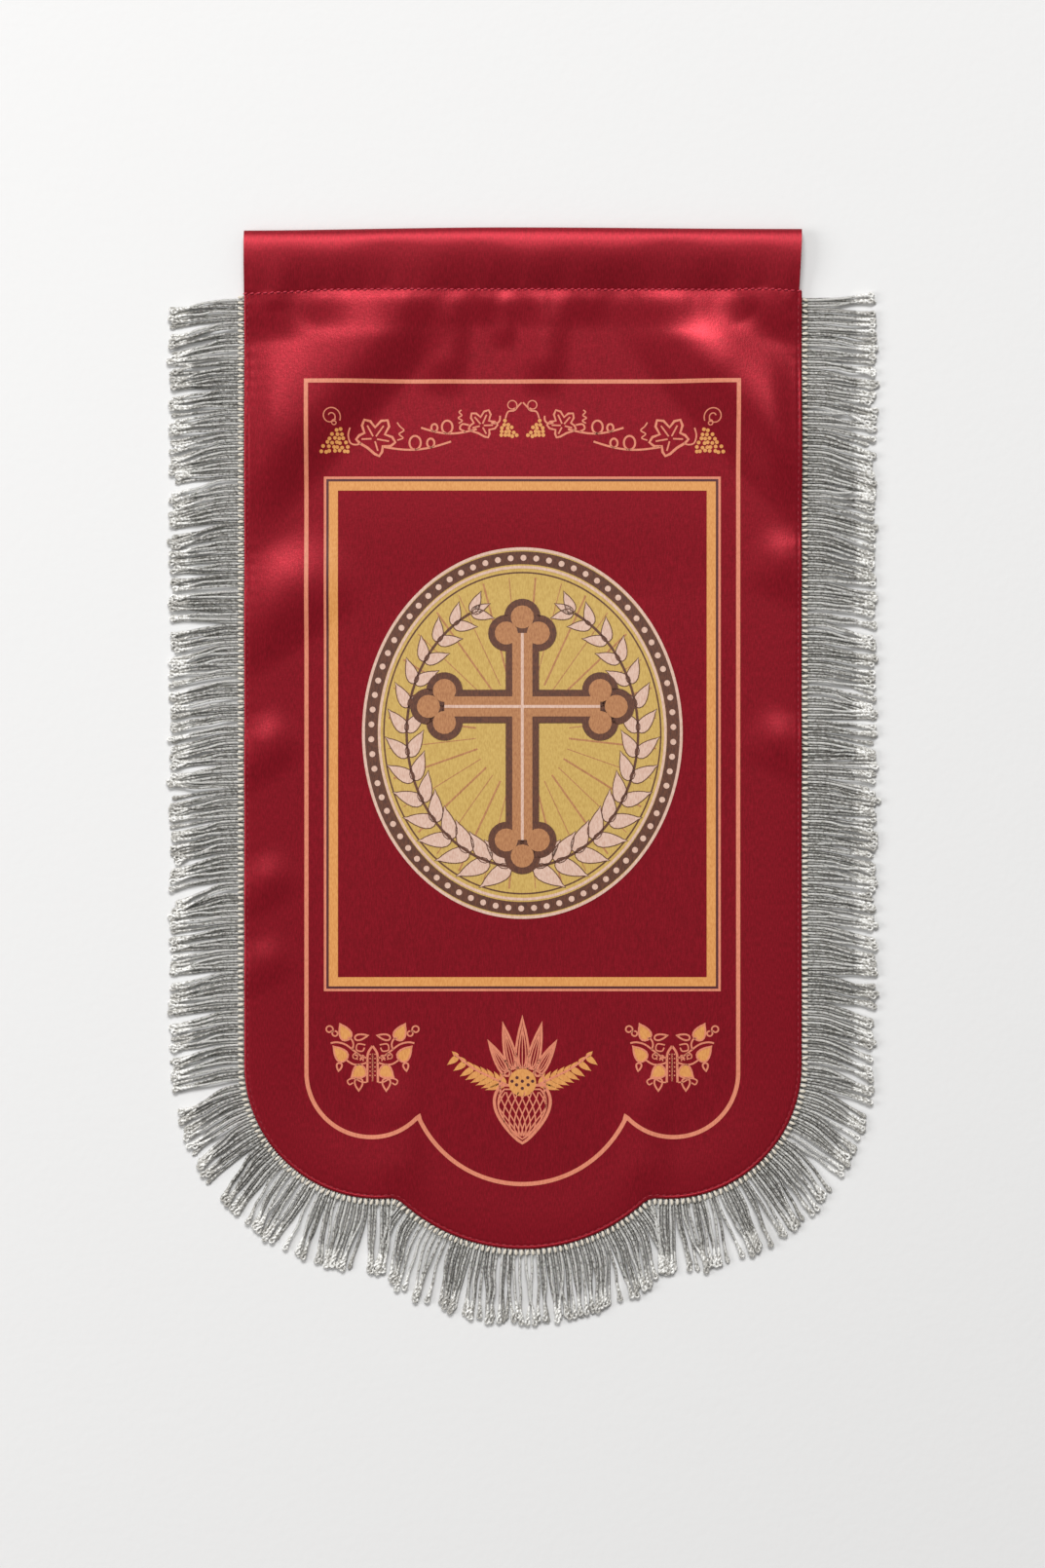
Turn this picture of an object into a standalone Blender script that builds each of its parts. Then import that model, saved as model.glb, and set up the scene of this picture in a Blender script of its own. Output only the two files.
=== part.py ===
"""A small church banner of crimson satin, lying face up: a panel with a scalloped hem, a rod pocket
along its top, and a silver bullion fringe round its two sides and its hem.

Metres, +Z up. X runs across the banner and +Y towards its top. The origin is on the surface that the
banner lies on, under the middle of its outline.
"""

import math

import bmesh
import bpy

# The cloth's outline
HALF_WIDTH = 0.1252
SIDE_END_Y = -0.1290
SCALLOP_RADIUS = 0.0602
SCALLOP_X = HALF_WIDTH - SCALLOP_RADIUS
LOBE_RADIUS = 0.0810
LOBE_CENTRE_Y = -0.1308
NOTCH_RADIUS = 0.0075

# The cloth and what it rests on
CLOTH_THICK = 0.0012
PIECE_GAP = 0.0003
EDGE_LIFT = 0.0014
EDGE_LIFT_FULL_TO = 0.006
EDGE_LIFT_GONE_AT = 0.034
SEAM_LIFT = 0.0011
SEAM_LIFT_FULL_TO = 0.003
SEAM_LIFT_GONE_AT = 0.018
HEM_SEGMENTS = 40

# Rows of the panel from the seam down: length of a row, number of rows
ROW_BANDS = (
    (0.0052, 12),
    (0.0120, 20),
    (0.0078, 7),
)

# Seam under the rod pocket: x, y
SEAM_LINE = (
    (-0.1252, 0.2172),
    (-0.0800, 0.2191),
    (0.0000, 0.2194),
    (0.0800, 0.2191),
    (0.1080, 0.2194),
    (0.1252, 0.2184),
)

# Fold along the top of the rod pocket: x, y
FOLD_LINE = (
    (-0.1252, 0.2456),
    (-0.0100, 0.2470),
    (0.1252, 0.2463),
)

# Height of the rod pocket: x, z
POCKET_HEIGHTS = (
    (-0.1252, 0.0069),
    (-0.0850, 0.0077),
    (-0.0300, 0.0071),
    (0.0350, 0.0076),
    (0.0800, 0.0070),
    (0.1252, 0.0071),
)
POCKET_WALL = 0.0010
POCKET_STITCHED = 0.0026
POCKET_END_SLANT = 0.0012
POCKET_CREST_SHARE = 0.68
POCKET_STATIONS = 22
POCKET_FLOOR_POINTS = 3
POCKET_FOLD_POINTS = 5
POCKET_TOP_POINTS = 5

# Folds of the lying cloth, each a soft ridge that dies out at both ends:
# start x, start y, end x, end y, half width on its left, half width on its right, height
FOLDS = (
    (-0.1500, 0.1060, -0.0200, 0.2500, 0.0420, 0.0260, 0.0048),
    (-0.1500, 0.2180, -0.0900, 0.2200, 0.0120, 0.0240, 0.0032),
    (-0.1540, 0.0500, -0.0740, 0.1020, 0.0260, 0.0240, 0.0029),
    (0.0500, 0.2260, 0.1600, 0.1060, 0.0340, 0.0260, 0.0056),
    (0.0900, 0.2200, 0.1560, 0.2170, 0.0120, 0.0240, 0.0034),
    (0.1000, 0.1040, 0.1560, 0.0840, 0.0160, 0.0200, 0.0020),
    (0.1000, 0.0250, 0.1480, 0.0000, 0.0150, 0.0160, 0.0018),
    (-0.1480, -0.0080, -0.1000, 0.0260, 0.0150, 0.0160, 0.0020),
    (-0.1480, -0.0660, -0.1000, -0.0370, 0.0135, 0.0135, 0.0016),
    (-0.1480, -0.1000, -0.1020, -0.0750, 0.0125, 0.0125, 0.0015),
    (-0.0310, 0.2240, -0.0370, 0.1700, 0.0120, 0.0120, 0.0018),
    (0.0120, 0.2240, 0.0080, 0.1700, 0.0120, 0.0120, 0.0018),
    (-0.0080, 0.2220, -0.0090, 0.1920, 0.0070, 0.0070, 0.0011),
    (0.0620, 0.2220, 0.0680, 0.1860, 0.0120, 0.0120, 0.0009),
    (-0.0550, -0.1980, -0.0590, -0.1280, 0.0150, 0.0150, 0.0014),
    (0.0540, -0.1980, 0.0550, -0.1260, 0.0150, 0.0150, 0.0014),
    (-0.1500, 0.1200, 0.1500, 0.1200, 0.0600, 0.0400, 0.0007),
)
FOLD_FADE_SHARE = 0.30
# Share of a fold's height that is left at the fringe and at the seam, and where it is whole again
FOLD_AT_EDGE = 0.45
FOLD_FULL_INSIDE = 0.014
FOLD_AT_SEAM = 0.55
FOLD_FULL_BELOW = 0.022

# The fringe
FRINGE_START_Y = 0.2158
HEADING_UNDER = 0.0040
HEADING_OUT = 0.0030
HEADING_THICK = 0.0011
STRAND_PITCH = 0.0040
STRAND_LENGTH = 0.0312
STRAND_BEND_SHARE = 0.30
STRAND_ROOT_WIDTH = 0.0027
STRAND_BASE_WIDTHS = (0.0026, 0.0021)
STRAND_TOP_WIDTHS = (0.0017, 0.0013)
STRAND_HEIGHTS = (0.0021, 0.0017)
ROOT_EASE_SIDE = 0.5
ROOT_EASE_HEM = 0.15
LENGTH_WAVES = (
    (0.0007, 0.83),
    (0.0005, 2.31),
)

# Way the strands lie: stretch, share along it from the left seam round to the right, degrees from +X
LIE = (
    ("left", 0.000, 185),
    ("left", 0.016, 192),
    ("left", 0.120, 190),
    ("left", 0.200, 195),
    ("left", 0.280, 191),
    ("left", 0.345, 186),
    ("left", 0.360, 188),
    ("left", 0.420, 180),
    ("left", 0.432, 193),
    ("left", 0.482, 188),
    ("left", 0.494, 195),
    ("left", 0.555, 189),
    ("left", 0.567, 195),
    ("left", 0.640, 185),
    ("left", 0.652, 195),
    ("left", 0.752, 187),
    ("left", 0.764, 196),
    ("left", 0.845, 188),
    ("left", 0.857, 194),
    ("left", 0.920, 188),
    ("left", 0.932, 194),
    ("left", 1.000, 196),
    ("scallop_left", 0.000, 196),
    ("scallop_left", 0.130, 204),
    ("scallop_left", 0.165, 211),
    ("scallop_left", 0.370, 228),
    ("scallop_left", 0.580, 243),
    ("scallop_left", 0.615, 249),
    ("scallop_left", 0.780, 251),
    ("scallop_left", 0.815, 257),
    ("scallop_left", 1.000, 264),
    ("lobe", 0.000, 264),
    ("lobe", 0.080, 260),
    ("lobe", 0.200, 257),
    ("lobe", 0.330, 257),
    ("lobe", 0.365, 264),
    ("lobe", 0.480, 269),
    ("lobe", 0.690, 271),
    ("lobe", 0.725, 282),
    ("lobe", 0.780, 279),
    ("lobe", 0.815, 286),
    ("lobe", 0.900, 282),
    ("lobe", 1.000, 277),
    ("scallop_right", 0.000, 277),
    ("scallop_right", 0.120, 281),
    ("scallop_right", 0.235, 283),
    ("scallop_right", 0.270, 289),
    ("scallop_right", 0.350, 290),
    ("scallop_right", 0.385, 296),
    ("scallop_right", 0.540, 306),
    ("scallop_right", 0.575, 313),
    ("scallop_right", 0.655, 316),
    ("scallop_right", 0.690, 323),
    ("scallop_right", 0.800, 328),
    ("scallop_right", 0.835, 334),
    ("scallop_right", 1.000, 339),
    ("right", 0.000, 340),
    ("right", 0.060, 341),
    ("right", 0.072, 347),
    ("right", 0.105, 343),
    ("right", 0.117, 349),
    ("right", 0.175, 342),
    ("right", 0.187, 354),
    ("right", 0.290, 346),
    ("right", 0.325, 347),
    ("right", 0.337, 353),
    ("right", 0.370, 349),
    ("right", 0.382, 356),
    ("right", 0.430, 350),
    ("right", 0.442, 354),
    ("right", 0.508, 346),
    ("right", 0.520, 351),
    ("right", 0.570, 345),
    ("right", 0.582, 350),
    ("right", 0.628, 345),
    ("right", 0.640, 350),
    ("right", 0.722, 343),
    ("right", 0.734, 349),
    ("right", 0.785, 343),
    ("right", 0.797, 347),
    ("right", 0.820, 344),
    ("right", 0.832, 351),
    ("right", 0.975, 352),
    ("right", 1.000, 364),
)

# Finishes: base colour, roughness, metallic
CRIMSON_SATIN = ((0.216, 0.008, 0.018), 0.38, 0.0)
SILVER_BULLION = ((0.578, 0.591, 0.546), 0.42, 0.6)


def smooth(share):
    share = min(max(share, 0.0), 1.0)
    return share * share * (3 - 2 * share)


def along(table, x):
    """The value of a two-column table at x, eased from row to row."""
    if x <= table[0][0]:
        return table[0][1]
    for (x0, value0), (x1, value1) in zip(table, table[1:]):
        if x <= x1:
            return value0 + (value1 - value0) * smooth((x - x0) / (x1 - x0))
    return table[-1][1]


def polar(degrees, radius):
    angle = math.radians(degrees)
    return radius * math.cos(angle), radius * math.sin(angle)


class Line:
    """A straight stretch of the cloth's edge."""

    def __init__(self, start, end, normal):
        self.start, self.end, self.normal = start, end, normal

    def length(self, _outward):
        return math.dist(self.start, self.end)

    def at(self, share, outward):
        """The point at a share of the stretch, moved outward, and the outward direction there."""
        dx, dy = polar(self.normal, outward)
        x = self.start[0] + (self.end[0] - self.start[0]) * share + dx
        y = self.start[1] + (self.end[1] - self.start[1]) * share + dy
        return x, y, self.normal


class Arc:
    """A round stretch of the edge. side is 1 where it bulges out and -1 in a notch."""

    def __init__(self, centre, radius, start, end, side=1):
        self.centre, self.radius, self.start, self.end, self.side = centre, radius, start, end, side

    def length(self, outward):
        return (self.radius + self.side * outward) * math.radians(abs(self.end - self.start))

    def at(self, share, outward):
        angle = self.start + (self.end - self.start) * share
        dx, dy = polar(angle, self.radius + self.side * outward)
        normal = angle if self.side > 0 else angle + 180
        return self.centre[0] + dx, self.centre[1] + dy, normal


def notch_centre():
    """The centre of the small arc that touches the left scallop and the lobe from below."""
    from_scallop = SCALLOP_RADIUS + NOTCH_RADIUS
    from_lobe = LOBE_RADIUS + NOTCH_RADIUS
    dx, dy = SCALLOP_X, LOBE_CENTRE_Y - SIDE_END_Y
    apart = math.hypot(dx, dy)
    reach = (apart**2 + from_scallop**2 - from_lobe**2) / (2 * apart)
    drop = math.sqrt(from_scallop**2 - reach**2)
    ux, uy = dx / apart, dy / apart
    return -SCALLOP_X + ux * reach + uy * drop, SIDE_END_Y + uy * reach - ux * drop


def mirrored(degrees):
    """A direction of the left half's hem as it is on the right half."""
    return 540 - degrees


def edge_stretches():
    """The cloth's edge from the left end of the seam, down, round the hem and up to the right end."""
    nx, ny = notch_centre()
    to_scallop = math.degrees(math.atan2(SIDE_END_Y - ny, -SCALLOP_X - nx))
    to_lobe = math.degrees(math.atan2(LOBE_CENTRE_Y - ny, -nx))
    left_foot, right_foot = (-HALF_WIDTH, SIDE_END_Y), (HALF_WIDTH, SIDE_END_Y)
    left_centre, right_centre = (-SCALLOP_X, SIDE_END_Y), (SCALLOP_X, SIDE_END_Y)
    scallop_end = 180 + to_scallop
    lobe_start = 180 + to_lobe
    return {
        "left": [Line((-HALF_WIDTH, FRINGE_START_Y), left_foot, 180)],
        "scallop_left": [Arc(left_centre, SCALLOP_RADIUS, 180, scallop_end)],
        "lobe": [
            Arc((nx, ny), NOTCH_RADIUS, to_scallop, to_lobe, -1),
            Arc((0, LOBE_CENTRE_Y), LOBE_RADIUS, lobe_start, mirrored(lobe_start)),
            Arc((-nx, ny), NOTCH_RADIUS, 180 - to_lobe, 180 - to_scallop, -1),
        ],
        "scallop_right": [Arc(right_centre, SCALLOP_RADIUS, mirrored(scallop_end), 360)],
        "right": [Line(right_foot, (HALF_WIDTH, FRINGE_START_Y), 360)],
    }


def walk(pieces, distance, outward, measured_at):
    """The point at a distance along some pieces of the edge, where the distance is measured on the
    line that lies measured_at outside the cloth."""
    for piece in pieces[:-1]:
        length = piece.length(measured_at)
        if distance <= length:
            return piece.at(distance / length, outward)
        distance -= length
    return pieces[-1].at(distance / pieces[-1].length(measured_at), outward)


def inside_edge(x, y):
    """How far a point of the cloth lies inside its side and hem edges."""
    scallop = SCALLOP_RADIUS - math.hypot(abs(x) - SCALLOP_X, y - SIDE_END_Y)
    lobe = LOBE_RADIUS - math.hypot(x, y - LOBE_CENTRE_Y)
    side = HALF_WIDTH - abs(x) if y >= SIDE_END_Y else scallop
    return max(side, scallop, lobe, 0.0)


def fold_lift(x, y):
    """How far the folds raise the cloth. They are held lower at the fringe and at the pocket's seam."""
    lift = 0.0
    for x0, y0, x1, y1, left, right, height in FOLDS:
        dx, dy = x1 - x0, y1 - y0
        length = math.hypot(dx, dy)
        share = ((x - x0) * dx + (y - y0) * dy) / length**2
        off = ((x - x0) * dy - (y - y0) * dx) / length
        off /= right if off > 0 else left
        fade = smooth(share / FOLD_FADE_SHARE) * smooth((1 - share) / FOLD_FADE_SHARE)
        lift += height * fade * max(1 - off * off, 0) ** 2
    by_edge = FOLD_AT_EDGE + (1 - FOLD_AT_EDGE) * smooth(inside_edge(x, y) / FOLD_FULL_INSIDE)
    below_seam = along(SEAM_LINE, x) - y
    by_seam = FOLD_AT_SEAM + (1 - FOLD_AT_SEAM) * smooth(below_seam / FOLD_FULL_BELOW)
    return lift * by_edge * by_seam


def cloth_lift(x, y):
    """Height of the cloth's underside over the surface: it lies flat in the middle, climbs over the
    fringe heading and the turned seam, and stands up in soft folds."""
    from_seam = along(SEAM_LINE, x) - y
    edge_share = (inside_edge(x, y) - EDGE_LIFT_FULL_TO) / (EDGE_LIFT_GONE_AT - EDGE_LIFT_FULL_TO)
    seam_share = (from_seam - SEAM_LIFT_FULL_TO) / (SEAM_LIFT_GONE_AT - SEAM_LIFT_FULL_TO)
    edge = EDGE_LIFT * (1 - smooth(edge_share))
    seam = SEAM_LIFT * (1 - smooth(seam_share))
    return max(edge, seam) + fold_lift(x, y)


def finish_of(name, finish):
    colour, roughness, metallic = finish
    material = bpy.data.materials.new(name)
    material.use_nodes = True
    shader = material.node_tree.nodes["Principled BSDF"]
    shader.inputs["Base Color"].default_value = (*colour, 1)
    shader.inputs["Roughness"].default_value = roughness
    shader.inputs["Metallic"].default_value = metallic
    return material


def add_object(name, shape, material, banner):
    """Make an object of a bmesh, with its faces outwards, and hang it on the banner's empty."""
    bmesh.ops.recalc_face_normals(shape, faces=shape.faces)
    mesh = bpy.data.meshes.new(name)
    shape.to_mesh(mesh)
    shape.free()
    mesh.materials.append(material)
    piece = bpy.data.objects.new(name, mesh)
    bpy.context.scene.collection.objects.link(piece)
    piece.parent = banner
    return piece


def row_shares():
    """Shares of a column's length at which the rows of the panel lie."""
    steps = [length for length, count in ROW_BANDS for _ in range(count)]
    total = sum(steps)
    return [sum(steps[:row]) / total for row in range(len(steps) + 1)]


def make_panel(stretches, material, banner):
    """The satin panel: a grid fitted to the outline, lifted into its folds and given its thickness."""
    hem = stretches["scallop_left"] + stretches["lobe"] + stretches["scallop_right"]
    hem_length = sum(piece.length(0) for piece in hem)
    shares = row_shares()
    shape = bmesh.new()
    columns = []
    for column in range(HEM_SEGMENTS + 1):
        x, hem_y, _ = walk(hem, hem_length * column / HEM_SEGMENTS, 0, 0)
        top_y = along(SEAM_LINE, x) - PIECE_GAP / 2
        ys = [top_y + (hem_y - top_y) * share for share in shares]
        columns.append([shape.verts.new((x, y, cloth_lift(x, y))) for y in ys])
    for left, right in zip(columns, columns[1:]):
        for row in range(len(shares) - 1):
            shape.faces.new((left[row + 1], right[row + 1], right[row], left[row]))
    panel = add_object("panel", shape, material, banner)
    panel.data.shade_smooth()
    thickness = panel.modifiers.new("Thickness", "SOLIDIFY")
    thickness.thickness = CLOTH_THICK
    thickness.offset = 1
    return panel


def pocket_ring(x, inset):
    """One ring of the rod pocket at x, as y and z, starting at the seam and going under, round the
    fold and back over the top. inset is 0 outside the wall and the wall's thickness inside it."""
    seam_y = along(SEAM_LINE, x) + PIECE_GAP / 2
    fold_y = along(FOLD_LINE, x)
    height = along(POCKET_HEIGHTS, x)
    seam_z = cloth_lift(x, seam_y) + CLOTH_THICK
    front_y = seam_y + (POCKET_STITCHED if inset else 0)
    fold_centre_y = fold_y - height / 2
    ring = []
    for step in range(POCKET_FLOOR_POINTS):
        share = step / POCKET_FLOOR_POINTS
        ring.append((front_y + (fold_centre_y - front_y) * share, inset))
    for step in range(POCKET_FOLD_POINTS):
        dy, dz = polar(-90 + 180 * step / (POCKET_FOLD_POINTS - 1), height / 2 - inset)
        ring.append((fold_centre_y + dy, height / 2 + dz))
    for step in range(1, POCKET_TOP_POINTS + 1):
        y = fold_centre_y + (front_y - fold_centre_y) * step / POCKET_TOP_POINTS
        climbed = (y - seam_y) / (fold_centre_y - seam_y) / POCKET_CREST_SHARE
        rise = math.sin(math.pi / 2 * min(climbed, 1))
        ring.append((y, seam_z + (height - seam_z) * rise - inset))
    return ring


def make_rod_pocket(material, banner):
    """The pocket: a flattened tube of cloth with its two ends open."""
    seam_y, fold_y = along(SEAM_LINE, 0), along(FOLD_LINE, 0)
    shape = bmesh.new()
    walls = []
    for inset in (0, POCKET_WALL):
        rings = []
        for station in range(POCKET_STATIONS + 1):
            share = station / POCKET_STATIONS
            x = HALF_WIDTH * (2 * share - 1)
            ring = []
            for y, z in pocket_ring(x, inset):
                slant = POCKET_END_SLANT * share * (fold_y - y) / (fold_y - seam_y)
                ring.append(shape.verts.new((x - slant, y - seam_y, z)))
            rings.append(ring)
        walls.append(rings)
    outer, inner = walls
    count = len(outer[0])
    for rings in walls:
        for first, second in zip(rings, rings[1:]):
            for k in range(count):
                after = (k + 1) % count
                shape.faces.new((first[k], first[after], second[after], second[k]))
    for end in (0, -1):
        for k in range(count):
            after = (k + 1) % count
            shape.faces.new((outer[end][k], outer[end][after], inner[end][after], inner[end][k]))
    pocket = add_object("rod_pocket", shape, material, banner)
    pocket.location = (0, seam_y, 0)
    pocket.data.shade_smooth()
    pocket.data.set_sharp_from_angle(angle=math.radians(50))
    return pocket


def lie_at(stretch, share):
    """The direction of the strands at a share of a stretch."""
    rows = [(at, degrees) for name, at, degrees in LIE if name == stretch]
    for (at0, degrees0), (at1, degrees1) in zip(rows, rows[1:]):
        if share <= at1:
            return degrees0 + (degrees1 - degrees0) * (share - at0) / (at1 - at0)
    return rows[-1][1]


def uneven(index):
    """How much longer one strand is than the common length."""
    return sum(size * math.sin(index * turn) for size, turn in LENGTH_WAVES)


def strand_ring(x, y, degrees, base_width, top_width, height):
    """Four corners across a strand that runs in a direction: two on the surface and two on top."""
    across_x, across_y = polar(degrees + 90, 1)
    corners = []
    for half, z in ((-base_width, 0), (base_width, 0), (top_width, height), (-top_width, height)):
        corners.append((x + across_x * half / 2, y + across_y * half / 2, z))
    return corners


def make_fringe(stretch, pieces, material, banner):
    """One stretch of fringe: a flat heading half under the cloth, with strands fused to its outer edge."""
    total = sum(piece.length(HEADING_OUT) for piece in pieces) - PIECE_GAP
    ease = ROOT_EASE_SIDE if stretch in ("left", "right") else ROOT_EASE_HEM
    strands = round(total / STRAND_PITCH)
    pitch = total / strands
    shape = bmesh.new()

    def station(distance):
        """The heading's bottom and top points at its inner edge, then at its outer edge."""
        rows = []
        for outward in (-HEADING_UNDER, HEADING_OUT):
            x, y, _ = walk(pieces, distance + PIECE_GAP / 2, outward, HEADING_OUT)
            rows.append([shape.verts.new((x, y, z)) for z in (0, HEADING_THICK)])
        return rows

    edges = [0.0]
    for strand in range(strands):
        middle = (strand + 0.5) * pitch
        edges += [middle - STRAND_ROOT_WIDTH / 2, middle + STRAND_ROOT_WIDTH / 2]
    edges.append(total)
    stations = [station(distance) for distance in edges]
    roots = []
    for number, (first, second) in enumerate(zip(stations, stations[1:])):
        (in0, out0), (in1, out1) = first, second
        shape.faces.new((in0[0], in1[0], out1[0], out0[0]))
        shape.faces.new((in0[1], out0[1], out1[1], in1[1]))
        shape.faces.new((in0[0], in0[1], in1[1], in1[0]))
        outer = shape.faces.new((out0[0], out1[0], out1[1], out0[1]))
        if number % 2:
            roots.append(outer)
    for inner, outer in (stations[0], stations[-1]):
        shape.faces.new((inner[0], outer[0], outer[1], inner[1]))

    for strand, root in enumerate(roots):
        middle = (strand + 0.5) * pitch
        x, y, normal = walk(pieces, middle + PIECE_GAP / 2, HEADING_OUT, HEADING_OUT)
        lie = lie_at(stretch, middle / total)
        length = STRAND_LENGTH + uneven(strand)
        ways = (lie + (normal - lie) * ease, lie)
        runs = (length * STRAND_BEND_SHARE, length * (1 - STRAND_BEND_SHARE))
        face = root
        for ring in range(len(ways)):
            dx, dy = polar(ways[ring], runs[ring])
            x, y = x + dx, y + dy
            sizes = STRAND_BASE_WIDTHS[ring], STRAND_TOP_WIDTHS[ring], STRAND_HEIGHTS[ring]
            corners = strand_ring(x, y, lie, *sizes)
            made = bmesh.ops.extrude_discrete_faces(shape, faces=[face])
            face = made["faces"][0]
            for vert, corner in zip(face.verts, corners):
                vert.co = corner
    return add_object("fringe_" + stretch, shape, material, banner)


def main():
    for old in list(bpy.data.objects):
        bpy.data.objects.remove(old)
    banner = bpy.data.objects.new("banner", None)
    bpy.context.scene.collection.objects.link(banner)
    satin = finish_of("crimson_satin", CRIMSON_SATIN)
    silver = finish_of("silver_bullion", SILVER_BULLION)
    stretches = edge_stretches()
    make_panel(stretches, satin, banner)
    make_rod_pocket(satin, banner)
    for stretch, pieces in stretches.items():
        make_fringe(stretch, pieces, silver, banner)


main()
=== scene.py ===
"""A small church banner of crimson satin with printed gold ornament and a silver bullion fringe,
lying face up. Metres, +X to the banner's right, +Y towards its rod pocket, +Z up from its back."""

import math
import random

import bpy
import numpy as np
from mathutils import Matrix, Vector


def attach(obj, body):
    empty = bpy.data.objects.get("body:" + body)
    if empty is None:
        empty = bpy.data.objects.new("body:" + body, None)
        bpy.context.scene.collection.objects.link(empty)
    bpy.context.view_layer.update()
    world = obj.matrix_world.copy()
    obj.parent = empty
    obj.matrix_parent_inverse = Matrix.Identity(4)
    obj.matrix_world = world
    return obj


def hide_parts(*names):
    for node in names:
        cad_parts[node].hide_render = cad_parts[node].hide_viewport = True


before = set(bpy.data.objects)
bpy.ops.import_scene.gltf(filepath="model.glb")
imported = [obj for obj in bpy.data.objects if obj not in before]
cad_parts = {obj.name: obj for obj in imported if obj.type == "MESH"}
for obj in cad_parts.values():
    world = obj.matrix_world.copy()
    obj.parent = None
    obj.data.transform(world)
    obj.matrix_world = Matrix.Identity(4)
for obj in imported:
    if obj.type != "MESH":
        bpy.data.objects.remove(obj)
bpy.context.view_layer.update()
MM = 0.001


# The table top, the soft light and the camera
#
# The banner is laid out on a white table and seen from straight above. A wide soft light stands
# beyond its top, a little to the left, and white walls fill the shadows.
PIXEL = 0.438 * MM
BANNER_MIDDLE_PIXEL = (537.0, 798.5)
PHOTO_SIZE = (1073, 1610)
CAMERA_HEIGHT = 1.75
FLOOR_HALF = 3.0
FLOOR_COLOUR = (0.785, 0.783, 0.780)


def aim(thing, target):
    """Turn a light or the camera towards a point."""
    thing.rotation_euler = (Vector(target) - thing.location).to_track_quat("-Z", "Y").to_euler()


def new_material(name, colour, roughness, metallic=0.0):
    """A material with a plain finish, and its node tree, nodes and shader to build on."""
    material = bpy.data.materials.new(name)
    material.use_nodes = True
    nodes = material.node_tree.nodes
    shader = nodes["Principled BSDF"]
    shader.inputs["Base Color"].default_value = (*colour, 1)
    shader.inputs["Roughness"].default_value = roughness
    shader.inputs["Metallic"].default_value = metallic
    return material, material.node_tree, shader


def noise(tree, scale, detail=2.0, stretch=(1, 1, 1)):
    """A noise texture over the piece's own coordinates, given in cells a metre."""
    place = tree.nodes.new("ShaderNodeTexCoord")
    mapping = tree.nodes.new("ShaderNodeMapping")
    mapping.inputs["Scale"].default_value = stretch
    texture = tree.nodes.new("ShaderNodeTexNoise")
    texture.inputs["Scale"].default_value = scale
    texture.inputs["Detail"].default_value = detail
    tree.links.new(place.outputs["Object"], mapping.inputs["Vector"])
    tree.links.new(mapping.outputs["Vector"], texture.inputs["Vector"])
    return texture.outputs["Fac"]


def ramp(tree, source, stops):
    """A colour ramp: pairs of a place from 0 to 1 and a colour."""
    node = tree.nodes.new("ShaderNodeValToRGB")
    while len(node.color_ramp.elements) < len(stops):
        node.color_ramp.elements.new(0.5)
    for element, (place, colour) in zip(node.color_ramp.elements, stops):
        element.position = place
        element.color = (*colour, 1)
    tree.links.new(source, node.inputs["Fac"])
    return node.outputs["Color"]


def bump(tree, shader, height, distance, strength=1.0, under=None):
    """Raise a shader's surface by a height texture. under is another bump's normal."""
    node = tree.nodes.new("ShaderNodeBump")
    node.inputs["Distance"].default_value = distance
    node.inputs["Strength"].default_value = strength
    tree.links.new(height, node.inputs["Height"])
    if under is not None:
        tree.links.new(under, node.inputs["Normal"])
    tree.links.new(node.outputs["Normal"], shader.inputs["Normal"])
    return node.outputs["Normal"]


def object_of(name, verts, faces, material, smooth_shaded=True):
    """A mesh object of points and faces."""
    mesh = bpy.data.meshes.new(name)
    mesh.from_pydata(verts, [], faces)
    mesh.validate()
    if smooth_shaded:
        mesh.shade_smooth()
    mesh.materials.append(material)
    piece = bpy.data.objects.new(name, mesh)
    bpy.context.scene.collection.objects.link(piece)
    return piece


table_finish, table_tree, table_shader = new_material("White table", FLOOR_COLOUR, 0.75)
table_shader.inputs["Specular IOR Level"].default_value = 0.2
bump(table_tree, table_shader, noise(table_tree, 260, 4), 0.0004, 0.25)
corners = [(x * FLOOR_HALF, y * FLOOR_HALF, -0.0001) for x, y in ((-1, -1), (1, -1), (1, 1), (-1, 1))]
table = object_of("table_top", corners, [(0, 1, 2, 3)], table_finish)

camera_data = bpy.data.cameras.new("camera")
camera = bpy.data.objects.new("camera", camera_data)
bpy.context.scene.collection.objects.link(camera)
camera.location = (
    (PHOTO_SIZE[0] / 2 - BANNER_MIDDLE_PIXEL[0]) * PIXEL,
    (BANNER_MIDDLE_PIXEL[1] - PHOTO_SIZE[1] / 2) * PIXEL,
    CAMERA_HEIGHT,
)
camera_data.sensor_fit = "VERTICAL"
camera_data.angle_y = 2 * math.atan(PHOTO_SIZE[1] * PIXEL / 2 / CAMERA_HEIGHT)
bpy.context.scene.camera = camera

# Lights: name, place, target, width, length, watts
LIGHTS = (
    ("window", (-0.22, 3.16, 4.12), (0.0, 0.05, 0.0), 2.5, 1.7, 222.0),
    ("side", (-2.3, 0.1, 1.45), (0.0, 0.0, 0.0), 1.6, 1.4, 30.0),
)
for name, place, target, width, length, watts in LIGHTS:
    light_data = bpy.data.lights.new(name, "AREA")
    light_data.shape = "RECTANGLE"
    light_data.size = width
    light_data.size_y = length
    light_data.energy = watts
    light = bpy.data.objects.new(name, light_data)
    bpy.context.scene.collection.objects.link(light)
    light.location = place
    aim(light, target)

world = bpy.data.worlds.new("White walls")
world.use_nodes = True
world.node_tree.nodes["Background"].inputs["Color"].default_value = (1.0, 0.985, 0.97, 1)
world.node_tree.nodes["Background"].inputs["Strength"].default_value = 0.27
bpy.context.scene.world = world
bpy.context.scene.view_settings.view_transform = "Standard"


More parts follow.
